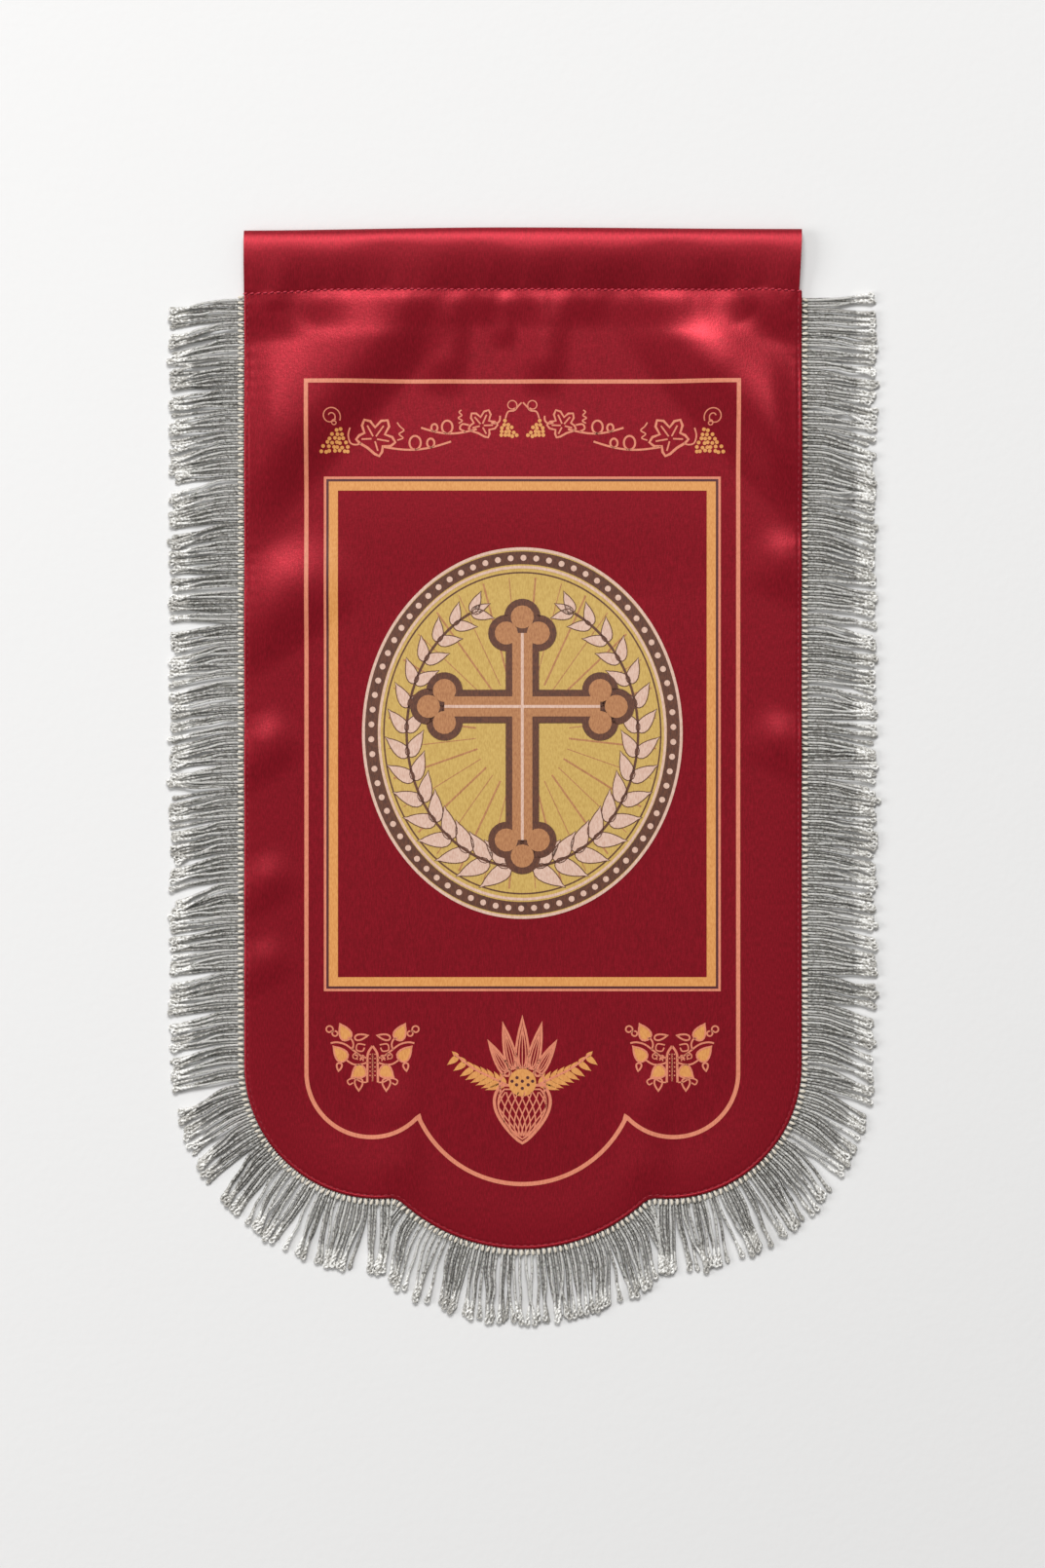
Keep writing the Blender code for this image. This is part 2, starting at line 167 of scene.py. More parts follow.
# The satin panel
#
# One cut of crimson satin with its backing, straight at the sides and scalloped at the hem. Its edges
# are turned and stitched down over the fringe's heading, and it lies in the soft ridges of cloth that
# was folded away. The sizes and ridges follow the part's own solid, with finer folds added.
HALF_WIDTH = 0.1252
SIDE_END_Y = -0.1290
SCALLOP_RADIUS = 0.0602
SCALLOP_X = HALF_WIDTH - SCALLOP_RADIUS
LOBE_RADIUS = 0.0810
LOBE_CENTRE_Y = -0.1308
NOTCH_RADIUS = 0.0075
CLOTH_THICK = 0.0011
EDGE_LIFT = 0.0014
EDGE_LIFT_FULL_TO = 0.006
EDGE_LIFT_GONE_AT = 0.034
SEAM_LIFT = 0.0011
SEAM_LIFT_FULL_TO = 0.003
SEAM_LIFT_GONE_AT = 0.018
FRINGE_START_Y = 0.2158

# Seam under the rod pocket: x, y
SEAM_LINE = (
    (-0.1252, 0.2172),
    (-0.0800, 0.2191),
    (0.0000, 0.2194),
    (0.0800, 0.2191),
    (0.1080, 0.2194),
    (0.1252, 0.2184),
)

# Folds of the lying cloth, each a soft ridge that dies out at both ends:
# start x, start y, end x, end y, half width on its left, half width on its right, height
FOLDS = (
    (-0.1500, 0.1060, -0.0200, 0.2500, 0.0420, 0.0260, 0.0048),
    (-0.1500, 0.2180, -0.0900, 0.2200, 0.0120, 0.0240, 0.0032),
    (-0.1540, 0.0500, -0.0740, 0.1020, 0.0260, 0.0240, 0.0029),
    (0.0500, 0.2260, 0.1600, 0.1060, 0.0300, 0.0260, 0.0060),
    (0.0900, 0.2200, 0.1560, 0.2170, 0.0120, 0.0240, 0.0034),
    (0.1000, 0.1040, 0.1560, 0.0840, 0.0160, 0.0200, 0.0020),
    (0.1000, 0.0250, 0.1480, 0.0000, 0.0150, 0.0160, 0.0018),
    (-0.1480, -0.0080, -0.1000, 0.0260, 0.0150, 0.0160, 0.0020),
    (-0.1480, -0.0660, -0.1000, -0.0370, 0.0135, 0.0135, 0.0016),
    (-0.1480, -0.1000, -0.1020, -0.0750, 0.0125, 0.0125, 0.0015),
    (-0.0310, 0.2240, -0.0370, 0.1700, 0.0120, 0.0120, 0.0018),
    (0.0120, 0.2240, 0.0080, 0.1700, 0.0120, 0.0120, 0.0018),
    (-0.0080, 0.2220, -0.0090, 0.1920, 0.0070, 0.0070, 0.0011),
    (0.0620, 0.2220, 0.0680, 0.1860, 0.0120, 0.0120, 0.0003),
    (-0.0550, -0.1980, -0.0590, -0.1280, 0.0150, 0.0150, 0.0014),
    (0.0540, -0.1980, 0.0550, -0.1260, 0.0150, 0.0150, 0.0014),
    (-0.1500, 0.1200, 0.1500, 0.1200, 0.0600, 0.0400, 0.0007),
)
FOLD_FADE_SHARE = 0.36
FOLD_AT_EDGE = 0.66
FOLD_FULL_INSIDE = 0.015
FOLD_AT_SEAM = 0.68
FOLD_FULL_BELOW = 0.024
# Long swells in the middle of the cloth: across x, down y, start, height
SWELLS = (
    (0.150, 0.260, 0.4, 0.00012),
    (-0.210, 0.160, 1.9, 0.00012),
)

# Turned edge: how wide its roll is, how far it falls, where its stitches draw it in, how wide and deep
ROLL_WIDE = 0.9 * MM
ROLL_FALL = 0.45 * MM
STITCH_INSIDE = 1.6 * MM
STITCH_GROOVE = 0.45 * MM
STITCH_DEPTH = 0.28 * MM
SEAM_DIP = 0.03 * MM
SEAM_DIP_WIDE = 1.1 * MM
# Puckers that the stitches draw in: height, how far in they die out, how far in they are full
EDGE_PUCKER = (0.16 * MM, 3.6 * MM, 2.4 * MM)
SEAM_PUCKER = (0.60 * MM, 12.0 * MM, 7.0 * MM)

HEM_STEP = 2.8 * MM
# Rows of the panel from the seam down: length of a row, number of rows
ROW_BANDS = (
    (0.0005, 8),
    (0.0010, 10),
    (0.00135, 298),
    (0.0009, 4),
    (0.0006, 3),
    (0.0004, 6),
)


def smooth(share):
    share = np.clip(share, 0.0, 1.0)
    return share * share * (3 - 2 * share)


def along(table, x):
    """The value of a two-column table at x, eased from row to row."""
    x = np.asarray(x, float)
    value = np.full(x.shape, float(table[0][1]))
    for (x0, value0), (x1, value1) in zip(table, table[1:]):
        value = np.where(x > x0, value0 + (value1 - value0) * smooth((x - x0) / (x1 - x0)), value)
    return value


def polar(degrees, radius):
    angle = math.radians(degrees)
    return radius * math.cos(angle), radius * math.sin(angle)


class Line:
    """A straight stretch of the cloth's edge."""

    def __init__(self, start, end, normal):
        self.start, self.end, self.normal = start, end, normal

    def length(self, _outward):
        return math.dist(self.start, self.end)

    def at(self, share, outward):
        """The point at a share of the stretch, moved outward, and the outward direction there."""
        dx, dy = polar(self.normal, outward)
        x = self.start[0] + (self.end[0] - self.start[0]) * share + dx
        y = self.start[1] + (self.end[1] - self.start[1]) * share + dy
        return x, y, self.normal


class Arc:
    """A round stretch of the edge. side is 1 where it bulges out and -1 in a notch."""

    def __init__(self, centre, radius, start, end, side=1):
        self.centre, self.radius, self.start, self.end, self.side = centre, radius, start, end, side

    def length(self, outward):
        return (self.radius + self.side * outward) * math.radians(abs(self.end - self.start))

    def at(self, share, outward):
        angle = self.start + (self.end - self.start) * share
        dx, dy = polar(angle, self.radius + self.side * outward)
        normal = angle if self.side > 0 else angle + 180
        return self.centre[0] + dx, self.centre[1] + dy, normal


def notch_centre():
    """The centre of the small arc that touches the left scallop and the lobe from below."""
    from_scallop = SCALLOP_RADIUS + NOTCH_RADIUS
    from_lobe = LOBE_RADIUS + NOTCH_RADIUS
    dx, dy = SCALLOP_X, LOBE_CENTRE_Y - SIDE_END_Y
    apart = math.hypot(dx, dy)
    reach = (apart**2 + from_scallop**2 - from_lobe**2) / (2 * apart)
    drop = math.sqrt(from_scallop**2 - reach**2)
    ux, uy = dx / apart, dy / apart
    return -SCALLOP_X + ux * reach + uy * drop, SIDE_END_Y + uy * reach - ux * drop


def edge_stretches():
    """The cloth's edge from the left end of the seam, down, round the hem and up to the right end."""
    nx, ny = notch_centre()
    to_scallop = math.degrees(math.atan2(SIDE_END_Y - ny, -SCALLOP_X - nx))
    to_lobe = math.degrees(math.atan2(LOBE_CENTRE_Y - ny, -nx))
    scallop_end = 180 + to_scallop
    lobe_start = 180 + to_lobe
    return {
        "left": [Line((-HALF_WIDTH, FRINGE_START_Y), (-HALF_WIDTH, SIDE_END_Y), 180)],
        "scallop_left": [Arc((-SCALLOP_X, SIDE_END_Y), SCALLOP_RADIUS, 180, scallop_end)],
        "lobe": [
            Arc((nx, ny), NOTCH_RADIUS, to_scallop, to_lobe, -1),
            Arc((0, LOBE_CENTRE_Y), LOBE_RADIUS, lobe_start, 540 - lobe_start),
            Arc((-nx, ny), NOTCH_RADIUS, 180 - to_lobe, 180 - to_scallop, -1),
        ],
        "scallop_right": [Arc((SCALLOP_X, SIDE_END_Y), SCALLOP_RADIUS, 540 - scallop_end, 360)],
        "right": [Line((HALF_WIDTH, SIDE_END_Y), (HALF_WIDTH, FRINGE_START_Y), 360)],
    }


def walk(pieces, distance, outward):
    """The point at a distance along some pieces of the edge, moved outward, and the way outward."""
    for piece in pieces[:-1]:
        length = piece.length(0)
        if distance <= length:
            return piece.at(distance / length, outward)
        distance -= length
    return pieces[-1].at(distance / pieces[-1].length(0), outward)


def length_of(pieces):
    return sum(piece.length(0) for piece in pieces)


def inside_edge(x, y):
    """How far a point of the cloth lies inside its side and hem edges."""
    scallop = SCALLOP_RADIUS - np.hypot(np.abs(x) - SCALLOP_X, y - SIDE_END_Y)
    lobe = LOBE_RADIUS - np.hypot(x, y - LOBE_CENTRE_Y)
    side = np.where(y >= SIDE_END_Y, HALF_WIDTH - np.abs(x), scallop)
    return np.maximum(np.maximum(side, scallop), np.maximum(lobe, 0.0))


def edge_run(x, y):
    """A distance along the edge for the point of the cloth beside it, for the puckers' rhythm."""
    round_scallop = np.arctan2(y - SIDE_END_Y, x - np.sign(x) * SCALLOP_X) * SCALLOP_RADIUS
    round_lobe = np.arctan2(y - LOBE_CENTRE_Y, x) * LOBE_RADIUS
    hem = np.where(np.hypot(x, y - LOBE_CENTRE_Y) > LOBE_RADIUS - 0.02, round_lobe, round_scallop)
    hem = np.where(np.abs(x) > SCALLOP_X - 0.012, round_scallop, hem)
    return np.where(y >= SIDE_END_Y, y, hem)


def fold_lift(x, y):
    """How far the folds raise the cloth. They are held lower at the fringe and at the pocket's seam."""
    lift = np.zeros(np.broadcast(x, y).shape)
    for x0, y0, x1, y1, left, right, height in FOLDS:
        dx, dy = x1 - x0, y1 - y0
        length = math.hypot(dx, dy)
        share = ((x - x0) * dx + (y - y0) * dy) / length**2
        off = ((x - x0) * dy - (y - y0) * dx) / length
        off = off / np.where(off > 0, right, left)
        fade = smooth(share / FOLD_FADE_SHARE) * smooth((1 - share) / FOLD_FADE_SHARE)
        lift += height * fade * np.clip(1 - off * off, 0, None) ** 2
    by_edge = FOLD_AT_EDGE + (1 - FOLD_AT_EDGE) * smooth(inside_edge(x, y) / FOLD_FULL_INSIDE)
    below_seam = along(SEAM_LINE, x) - y
    by_seam = FOLD_AT_SEAM + (1 - FOLD_AT_SEAM) * smooth(below_seam / FOLD_FULL_BELOW)
    return lift * by_edge * by_seam


def swell_lift(x, y):
    """Shallow swells of the lying cloth, which hardly leave the table."""
    lift = np.zeros(np.broadcast(x, y).shape)
    for wide, tall, start, height in SWELLS:
        lift += height * (1 + np.sin(2 * math.pi * (x / wide + y / tall) + start))
    return lift * smooth(inside_edge(x, y) / EDGE_LIFT_GONE_AT)


def pucker_lift(x, y):
    """Short pleats that the stitching draws into the cloth, along its edges and under the pocket."""
    inside = inside_edge(x, y)
    run = edge_run(x, y)
    wave = 0.5 + 0.5 * np.sin(run / 0.00098 + 2.1 * np.sin(run / 0.0071) + np.sin(run / 0.0163))
    height, reach, full = EDGE_PUCKER
    edge = height * wave * np.exp(-inside / reach) * smooth(inside / full)
    from_seam = np.clip(along(SEAM_LINE, x) - y, 0, None)
    pleat = 0.5 + 0.5 * np.sin(x / 0.00165 + 1.9 * np.sin(x / 0.0103) + 1.2)
    fan = 0.30 + 0.70 * np.exp(-((x / 0.060) ** 2))
    height, reach, full = SEAM_PUCKER
    seam = height * pleat * fan * np.exp(-from_seam / reach) * smooth(from_seam / full)
    return edge + seam


def cloth_lift(x, y):
    """Height of the cloth's underside over the table: it lies flat in the middle, climbs over the
    fringe heading and the turned seam, which is drawn up unevenly, and stands up in soft folds."""
    from_seam = along(SEAM_LINE, x) - y
    edge_share = (inside_edge(x, y) - EDGE_LIFT_FULL_TO) / (EDGE_LIFT_GONE_AT - EDGE_LIFT_FULL_TO)
    seam_share = (from_seam - SEAM_LIFT_FULL_TO) / (SEAM_LIFT_GONE_AT - SEAM_LIFT_FULL_TO)
    edge = EDGE_LIFT * (1 - smooth(edge_share))
    drawn = 1.05 + 0.45 * np.sin(x / 0.0046 + 1.7 * np.sin(x / 0.019) + 0.5)
    seam = SEAM_LIFT * drawn * (1 - smooth(seam_share))
    return np.maximum(edge, seam) + fold_lift(x, y)


def cloth_top(x, y):
    """Height of the cloth's face, with its puckers, its rolled edge and the lines drawn in by stitches."""
    inside = inside_edge(x, y)
    roll = ROLL_FALL * np.clip(1 - inside / ROLL_WIDE, 0, 1) ** 2
    groove = STITCH_DEPTH * np.exp(-(((inside - STITCH_INSIDE) / STITCH_GROOVE) ** 2))
    dip = SEAM_DIP * np.exp(-(((along(SEAM_LINE, x) - y) / SEAM_DIP_WIDE) ** 2))
    raised = cloth_lift(x, y) + swell_lift(x, y) + pucker_lift(x, y)
    return raised + CLOTH_THICK - roll - groove - dip


def grid_faces(columns, rows, first, flipped):
    """The faces of a grid of points that was laid out column by column."""
    c, r = np.meshgrid(np.arange(columns - 1), np.arange(rows - 1), indexing="ij")
    a = (first + c * rows + r).ravel()
    ring = (a + 1, a + rows + 1, a + rows, a) if not flipped else (a, a + rows, a + rows + 1, a + 1)
    return np.stack(ring, axis=1).tolist()


def panel_mesh():
    """A grid fitted to the outline, as a face and a back that are joined round the edge."""
    hem = STRETCHES["scallop_left"] + STRETCHES["lobe"] + STRETCHES["scallop_right"]
    columns = round(length_of(hem) / HEM_STEP) + 1
    steps = np.array([length for length, count in ROW_BANDS for _ in range(count)])
    shares = np.concatenate(([0.0], np.cumsum(steps))) / steps.sum()
    rows = len(shares)
    foot = np.array([walk(hem, length_of(hem) * c / (columns - 1), 0)[:2] for c in range(columns)])
    x = np.repeat(foot[:, 0], rows)
    head = along(SEAM_LINE, foot[:, 0])
    y = (head[:, None] + (foot[:, 1] - head)[:, None] * shares[None, :]).ravel()
    face = np.stack((x, y, cloth_top(x, y)), axis=1)
    back = np.stack((x, y, cloth_lift(x, y)), axis=1)
    faces = grid_faces(columns, rows, 0, False) + grid_faces(columns, rows, columns * rows, True)
    rim = [c * rows for c in range(columns)] + [(columns - 1) * rows + r for r in range(1, rows)]
    rim += [c * rows + rows - 1 for c in range(columns - 2, -1, -1)] + list(range(rows - 2, 0, -1))
    under = columns * rows
    for a, b in zip(rim, rim[1:] + rim[:1]):
        faces.append((a, b, b + under, a + under))
    return np.concatenate((face, back)).tolist(), faces


SATIN_COLOUR = (0.286, 0.0030, 0.0130)
SATIN_LIGHT = (0.375, 0.0060, 0.0210)
SATIN_DEEP = (0.205, 0.0020, 0.0085)


def satin_finish(name, roughness):
    """Satin weave: long floats that run down the banner, with fine slubs in the thread."""
    material, tree, shader = new_material(name, SATIN_COLOUR, roughness, 0.58)
    shader.inputs["Specular IOR Level"].default_value = 0.50
    floats = noise(tree, 1.0, 3, (2600, 420, 420))
    colour = ramp(tree, floats, ((0.25, SATIN_DEEP), (0.50, SATIN_COLOUR), (0.75, SATIN_LIGHT)))
    tree.links.new(colour, shader.inputs["Base Color"])
    slubs = noise(tree, 900, 2)
    threads = bump(tree, shader, floats, 0.00006, 0.45)
    bump(tree, shader, slubs, 0.00010, 0.32, threads)
    return material


STRETCHES = edge_stretches()
satin = satin_finish("Crimson satin", 0.350)
panel = object_of("satin_panel", *panel_mesh(), satin)
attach(panel, "root")
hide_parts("panel")


# The rod pocket
#
# The top of the same cloth, turned to the back and stitched down across the banner. Nothing is in it, so
# it lies as a low soft tube with a bright fold along its top and two open ends.
FOLD_LINE = (
    (-0.1252, 0.2456),
    (-0.0100, 0.2470),
    (0.1252, 0.2463),
)
POCKET_HEIGHTS = (
    (-0.1252, 0.0069),
    (-0.0850, 0.0077),
    (-0.0300, 0.0071),
    (0.0350, 0.0076),
    (0.0800, 0.0070),
    (0.1252, 0.0071),
)
POCKET_WALL = 0.0009
POCKET_STITCHED = 0.0026
POCKET_END_SLANT = 0.0012
POCKET_CREST_SHARE = 0.98
POCKET_SHOULDER = 8.0 * MM
POCKET_STATIONS = 170
FLOOR_POINTS = 6
FOLD_POINTS = 13
TOP_POINTS = 26


def pocket_ring(x, inset):
    """One ring of the pocket at x, as y and z, from the seam under, round the fold and over the top.
    inset is 0 outside the wall and the wall's thickness inside it."""
    seam_y = float(along(SEAM_LINE, x))
    fold_y = float(along(FOLD_LINE, x))
    height = float(along(POCKET_HEIGHTS, x))
    seam_z = float(cloth_lift(x, seam_y)) + CLOTH_THICK - SEAM_DIP
    front_y = seam_y + (POCKET_STITCHED if inset else 0)
    fold_centre_y = fold_y - height / 2
    shoulder = POCKET_SHOULDER * (1 + 0.14 * math.sin(x / 0.0190 + 0.8) + 0.08 * math.sin(x / 0.0068 + 1.3))
    ring = []
    for step in range(FLOOR_POINTS):
        share = step / FLOOR_POINTS
        ring.append((front_y + (fold_centre_y - front_y) * share, inset))
    for step in range(FOLD_POINTS):
        dy, dz = polar(-90 + 180 * step / (FOLD_POINTS - 1), height / 2 - inset)
        if dz > 0:
            dy += (shoulder - height / 2) * (dy / (height / 2 - inset) - 1)
        ring.append((fold_centre_y + dy, height / 2 + dz))
    fold_centre_y = fold_y - shoulder
    for step in range(1, TOP_POINTS + 1):
        share = step / TOP_POINTS
        y = fold_centre_y + (front_y - fold_centre_y) * (1 - (1 - share) ** 1.25)
        above_seam = y - seam_y
        climbed = above_seam / (fold_centre_y - seam_y) / POCKET_CREST_SHARE
        rise = math.sin(math.pi / 2 * min(climbed, 1))
        ripple = math.sin(x / 0.00178 + 1.6 * math.sin(x / 0.0117)) + 0.5 * math.sin(x / 0.0039 + 2.0)
        pucker = 0.00022 * ripple * math.exp(-above_seam / 0.0045) * min(above_seam / 0.0015, 1)
        ring.append((y, seam_z + (height - seam_z) * rise + pucker - inset))
    return ring


def pocket_mesh():
    """The pocket's outer and inner skins, joined at its two open ends."""
    seam_y, fold_y = float(along(SEAM_LINE, 0)), float(along(FOLD_LINE, 0))
    verts, faces = [], []
    for inset in (0, POCKET_WALL):
        for station in range(POCKET_STATIONS + 1):
            share = station / POCKET_STATIONS
            x = HALF_WIDTH * (2 * share - 1)
            for y, z in pocket_ring(x, inset):
                slant = POCKET_END_SLANT * share * (fold_y - y) / (fold_y - seam_y)
                verts.append((x - slant * abs(2 * share - 1), y, z))
    count = FLOOR_POINTS + FOLD_POINTS + TOP_POINTS
    skin = count * (POCKET_STATIONS + 1)
    for station in range(POCKET_STATIONS):
        for k in range(count):
            a, b = station * count + k, station * count + (k + 1) % count
            faces.append((a, a + count, b + count, b))
            faces.append((skin + a, skin + b, skin + b + count, skin + a + count))
    last = POCKET_STATIONS * count
    for k in range(count):
        after = (k + 1) % count
        faces.append((k, after, skin + after, skin + k))
        faces.append((last + k, skin + last + k, skin + last + after, last + after))
    return verts, faces


pocket = object_of("satin_rod_pocket", *pocket_mesh(), satin_finish("Satin across the fold", 0.480))
pocket.data.set_sharp_from_angle(angle=math.radians(60))
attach(pocket, "root")
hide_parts("rod_pocket")


# The machine stitches
#
# Crimson thread, one row across the foot of the rod pocket and one row just inside the turned edge, each
# stitch about 3 mm long and drawn into the satin.
SEAM_PITCH = 3.0 * MM
EDGE_PITCH = 3.1 * MM
SEAM_THREAD = (0.430, 0.0180, 0.0420)
EDGE_THREAD = (0.260, 0.0080, 0.0200)


def stitch_tree():
    """Lay one long bead at each step along a path, turned to follow it."""
    tree = bpy.data.node_groups.new("Row of stitches", "GeometryNodeTree")
    sockets = tree.interface
    sockets.new_socket("Path", in_out="INPUT", socket_type="NodeSocketGeometry")
    for name in ("Pitch", "Length", "Width", "Height"):
        sockets.new_socket(name, in_out="INPUT", socket_type="NodeSocketFloat")
    sockets.new_socket("Turn", in_out="INPUT", socket_type="NodeSocketFloat")
    sockets.new_socket("Uneven", in_out="INPUT", socket_type="NodeSocketFloat")
    sockets.new_socket("Finish", in_out="INPUT", socket_type="NodeSocketMaterial")
    sockets.new_socket("Stitches", in_out="OUTPUT", socket_type="NodeSocketGeometry")
    nodes, link = tree.nodes, tree.links.new
    into, out = nodes.new("NodeGroupInput"), nodes.new("NodeGroupOutput")
    steps = nodes.new("GeometryNodeResampleCurve")
    steps.mode = "LENGTH"
    link(into.outputs["Path"], steps.inputs["Curve"])
    link(into.outputs["Pitch"], steps.inputs["Length"])
    bead = nodes.new("GeometryNodeMeshUVSphere")
    bead.inputs["Segments"].default_value = 7
    bead.inputs["Rings"].default_value = 5
    bead.inputs["Radius"].default_value = 0.5
    shaded = nodes.new("GeometryNodeSetShadeSmooth")
    link(bead.outputs["Mesh"], shaded.inputs["Geometry"])
    sizes = nodes.new("ShaderNodeCombineXYZ")
    for name, axis in (("Length", "X"), ("Width", "Y"), ("Height", "Z")):
        link(into.outputs[name], sizes.inputs[axis])
    tangent = nodes.new("GeometryNodeInputTangent")
    follow = nodes.new("FunctionNodeAlignRotationToVector")
    follow.axis = "X"
    link(tangent.outputs["Tangent"], follow.inputs["Vector"])
    chance = nodes.new("FunctionNodeRandomValue")
    chance.data_type = "FLOAT"
    chance.inputs["Seed"].default_value = 7
    floats = [socket for socket in chance.inputs if socket.type == "VALUE"]
    floats[0].default_value = -1.0
    floats[1].default_value = 1.0
    chance_out = [socket for socket in chance.outputs if socket.type == "VALUE"][0]
    swing = nodes.new("ShaderNodeMath")
    swing.operation = "MULTIPLY_ADD"
    link(chance_out, swing.inputs[0])
    link(into.outputs["Uneven"], swing.inputs[1])
    link(into.outputs["Turn"], swing.inputs[2])
    turned = nodes.new("FunctionNodeRotateRotation")
    turned.rotation_space = "LOCAL"
    spin = nodes.new("FunctionNodeAxisAngleToRotation")
    spin.inputs["Axis"].default_value = (0, 0, 1)
    link(swing.outputs["Value"], spin.inputs["Angle"])
    link(follow.outputs["Rotation"], turned.inputs["Rotation"])
    link(spin.outputs["Rotation"], turned.inputs["Rotate By"])
    placed = nodes.new("GeometryNodeInstanceOnPoints")
    link(steps.outputs["Curve"], placed.inputs["Points"])
    link(shaded.outputs["Geometry"], placed.inputs["Instance"])
    link(turned.outputs["Rotation"], placed.inputs["Rotation"])
    link(sizes.outputs["Vector"], placed.inputs["Scale"])
    real = nodes.new("GeometryNodeRealizeInstances")
    link(placed.outputs["Instances"], real.inputs["Geometry"])
    finish = nodes.new("GeometryNodeSetMaterial")
    link(real.outputs["Geometry"], finish.inputs["Geometry"])
    link(into.outputs["Finish"], finish.inputs["Material"])
    link(finish.outputs["Geometry"], out.inputs["Stitches"])
    return tree


def paths_object(name, paths):
    """A curve object of paths: a list of points, whether it is closed, and the points' radii or None."""
    curve = bpy.data.curves.new(name, "CURVE")
    curve.dimensions = "3D"
    for points, closed, radii in paths:
        spline = curve.splines.new("POLY")
        spline.points.add(len(points) - 1)
        spline.use_cyclic_u = closed
        for point, place, radius in zip(spline.points, points, radii or [1.0] * len(points)):
            point.co = (*place, 1)
            point.radius = radius
    piece = bpy.data.objects.new(name, curve)
    bpy.context.scene.collection.objects.link(piece)
    return piece


def grown(name, source, tree, inputs):
    """Run a node tree on an object with the given inputs and keep its result as a plain mesh."""
    modifier = source.modifiers.new(tree.name, "NODES")
    modifier.node_group = tree
    identifiers = {s.name: s.identifier for s in tree.interface.items_tree if s.in_out == "INPUT"}
    for label, value in inputs.items():
        modifier[identifiers[label]] = value
    bpy.context.view_layer.update()
    graph = bpy.context.evaluated_depsgraph_get()
    mesh = bpy.data.meshes.new_from_object(source.evaluated_get(graph))
    bpy.data.objects.remove(source)
    mesh.name = name
    piece = bpy.data.objects.new(name, mesh)
    bpy.context.scene.collection.objects.link(piece)
    return piece


def on_cloth(points, proud):
    """Points given as x and y, set on the cloth's face and a little proud of it."""
    flat = np.array(points, float)
    return [(x, y, z + proud) for (x, y), z in zip(flat, cloth_top(flat[:, 0], flat[:, 1]))]


def edge_points(outward, step):
    """Points round the whole edge, from the left end of the seam to the right, moved outward."""
    points = []
    for pieces in STRETCHES.values():
        total = length_of(pieces)
        count = max(2, round(total / step))
        points += [walk(pieces, total * k / count, outward)[:2] for k in range(count)]
    return points


def thread_finish(name, colour):
    """Spun sewing thread."""
    material, tree, shader = new_material(name, colour, 0.5, 0.2)
    bump(tree, shader, noise(tree, 3200, 1), 0.0001, 0.5)
    return material


STITCHES = stitch_tree()
seam_xs = np.linspace(-HALF_WIDTH + 0.0006, HALF_WIDTH - 0.0012, 200)
seam_path = on_cloth([(x, float(along(SEAM_LINE, x))) for x in seam_xs], 0.24 * MM)
edge_path = on_cloth(edge_points(-STITCH_INSIDE, 1.5 * MM), 0.02 * MM)
seam_thread = thread_finish("Seam thread", SEAM_THREAD)
edge_thread = thread_finish("Edge thread", EDGE_THREAD)
# Rows: name, path, thread, pitch, length of a stitch, width, height, turn in radians, unevenness
STITCH_ROWS = (
    ("seam_stitches", seam_path, seam_thread, SEAM_PITCH, 2.3 * MM, 0.90 * MM, 0.70 * MM, 0.14, 0.12),
    ("edge_stitches", edge_path, edge_thread, EDGE_PITCH, 2.3 * MM, 0.50 * MM, 0.36 * MM, 0.05, 0.10),
)
for name, path, thread, pitch, length, width, height, turn, uneven in STITCH_ROWS:
    row = grown(name, paths_object(name, [(path, False, None)]), STITCHES, {
        "Pitch": pitch, "Length": length, "Width": width, "Height": height,
        "Turn": turn, "Uneven": uneven, "Finish": thread,
    })
    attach(row, "root")


# The printed frames
#
# Gold ink printed on the satin before it was sewn: a line that follows the hem's scallops, and inside it a
# thin line and a broad amber band round the middle. The ink is a skin on the cloth that takes its folds.
PRINT_MIDDLE_X = -0.3 * MM
PRINT_PROUD = 0.07 * MM
PRINT_THICK = 0.12 * MM
LAYER = 0.05 * MM
RAY_START = 0.05
FRAME_TOP_Y = 178.0 * MM
FRAME_HALF = 97.0 * MM
FRAME_SCALLOP = ((-68.0 * MM, -132.5 * MM), 29.0 * MM)
FRAME_LOBE = ((0.0, -131.4 * MM), 51.2 * MM)
FRAME_CUSP = (318.0, 204.5)
FRAME_LINE = 1.85 * MM
# Nested borders round the middle: half width, top, bottom, width of the line, ink
BORDERS = (
    (88.6, 134.7, -95.4, 1.10, "peach"),
    (87.5, 133.6, -94.3, 1.10, "maroon"),
    (84.9, 131.0, -91.7, 4.10, "amber"),
)
INKS = {
    "peach": ((0.720, 0.238, 0.138), (0.600, 0.182, 0.098)),
    "amber": ((0.720, 0.320, 0.088), (0.610, 0.243, 0.055)),
    "maroon": ((0.085, 0.004, 0.008), (0.060, 0.003, 0.006)),
}


def ink(name, light, deep):
    """Printed ink: matt, a little uneven, with the weave of the satin still in it."""
    material, tree, shader = new_material(name, light, 0.44, 0.0)
    shader.inputs["Specular IOR Level"].default_value = 0.60
    cover = noise(tree, 1.0, 3, (1900, 520, 520))
    tree.links.new(ramp(tree, cover, ((0.35, deep), (0.62, light))), shader.inputs["Base Color"])
    bump(tree, shader, cover, 0.00005, 0.4)
    return material


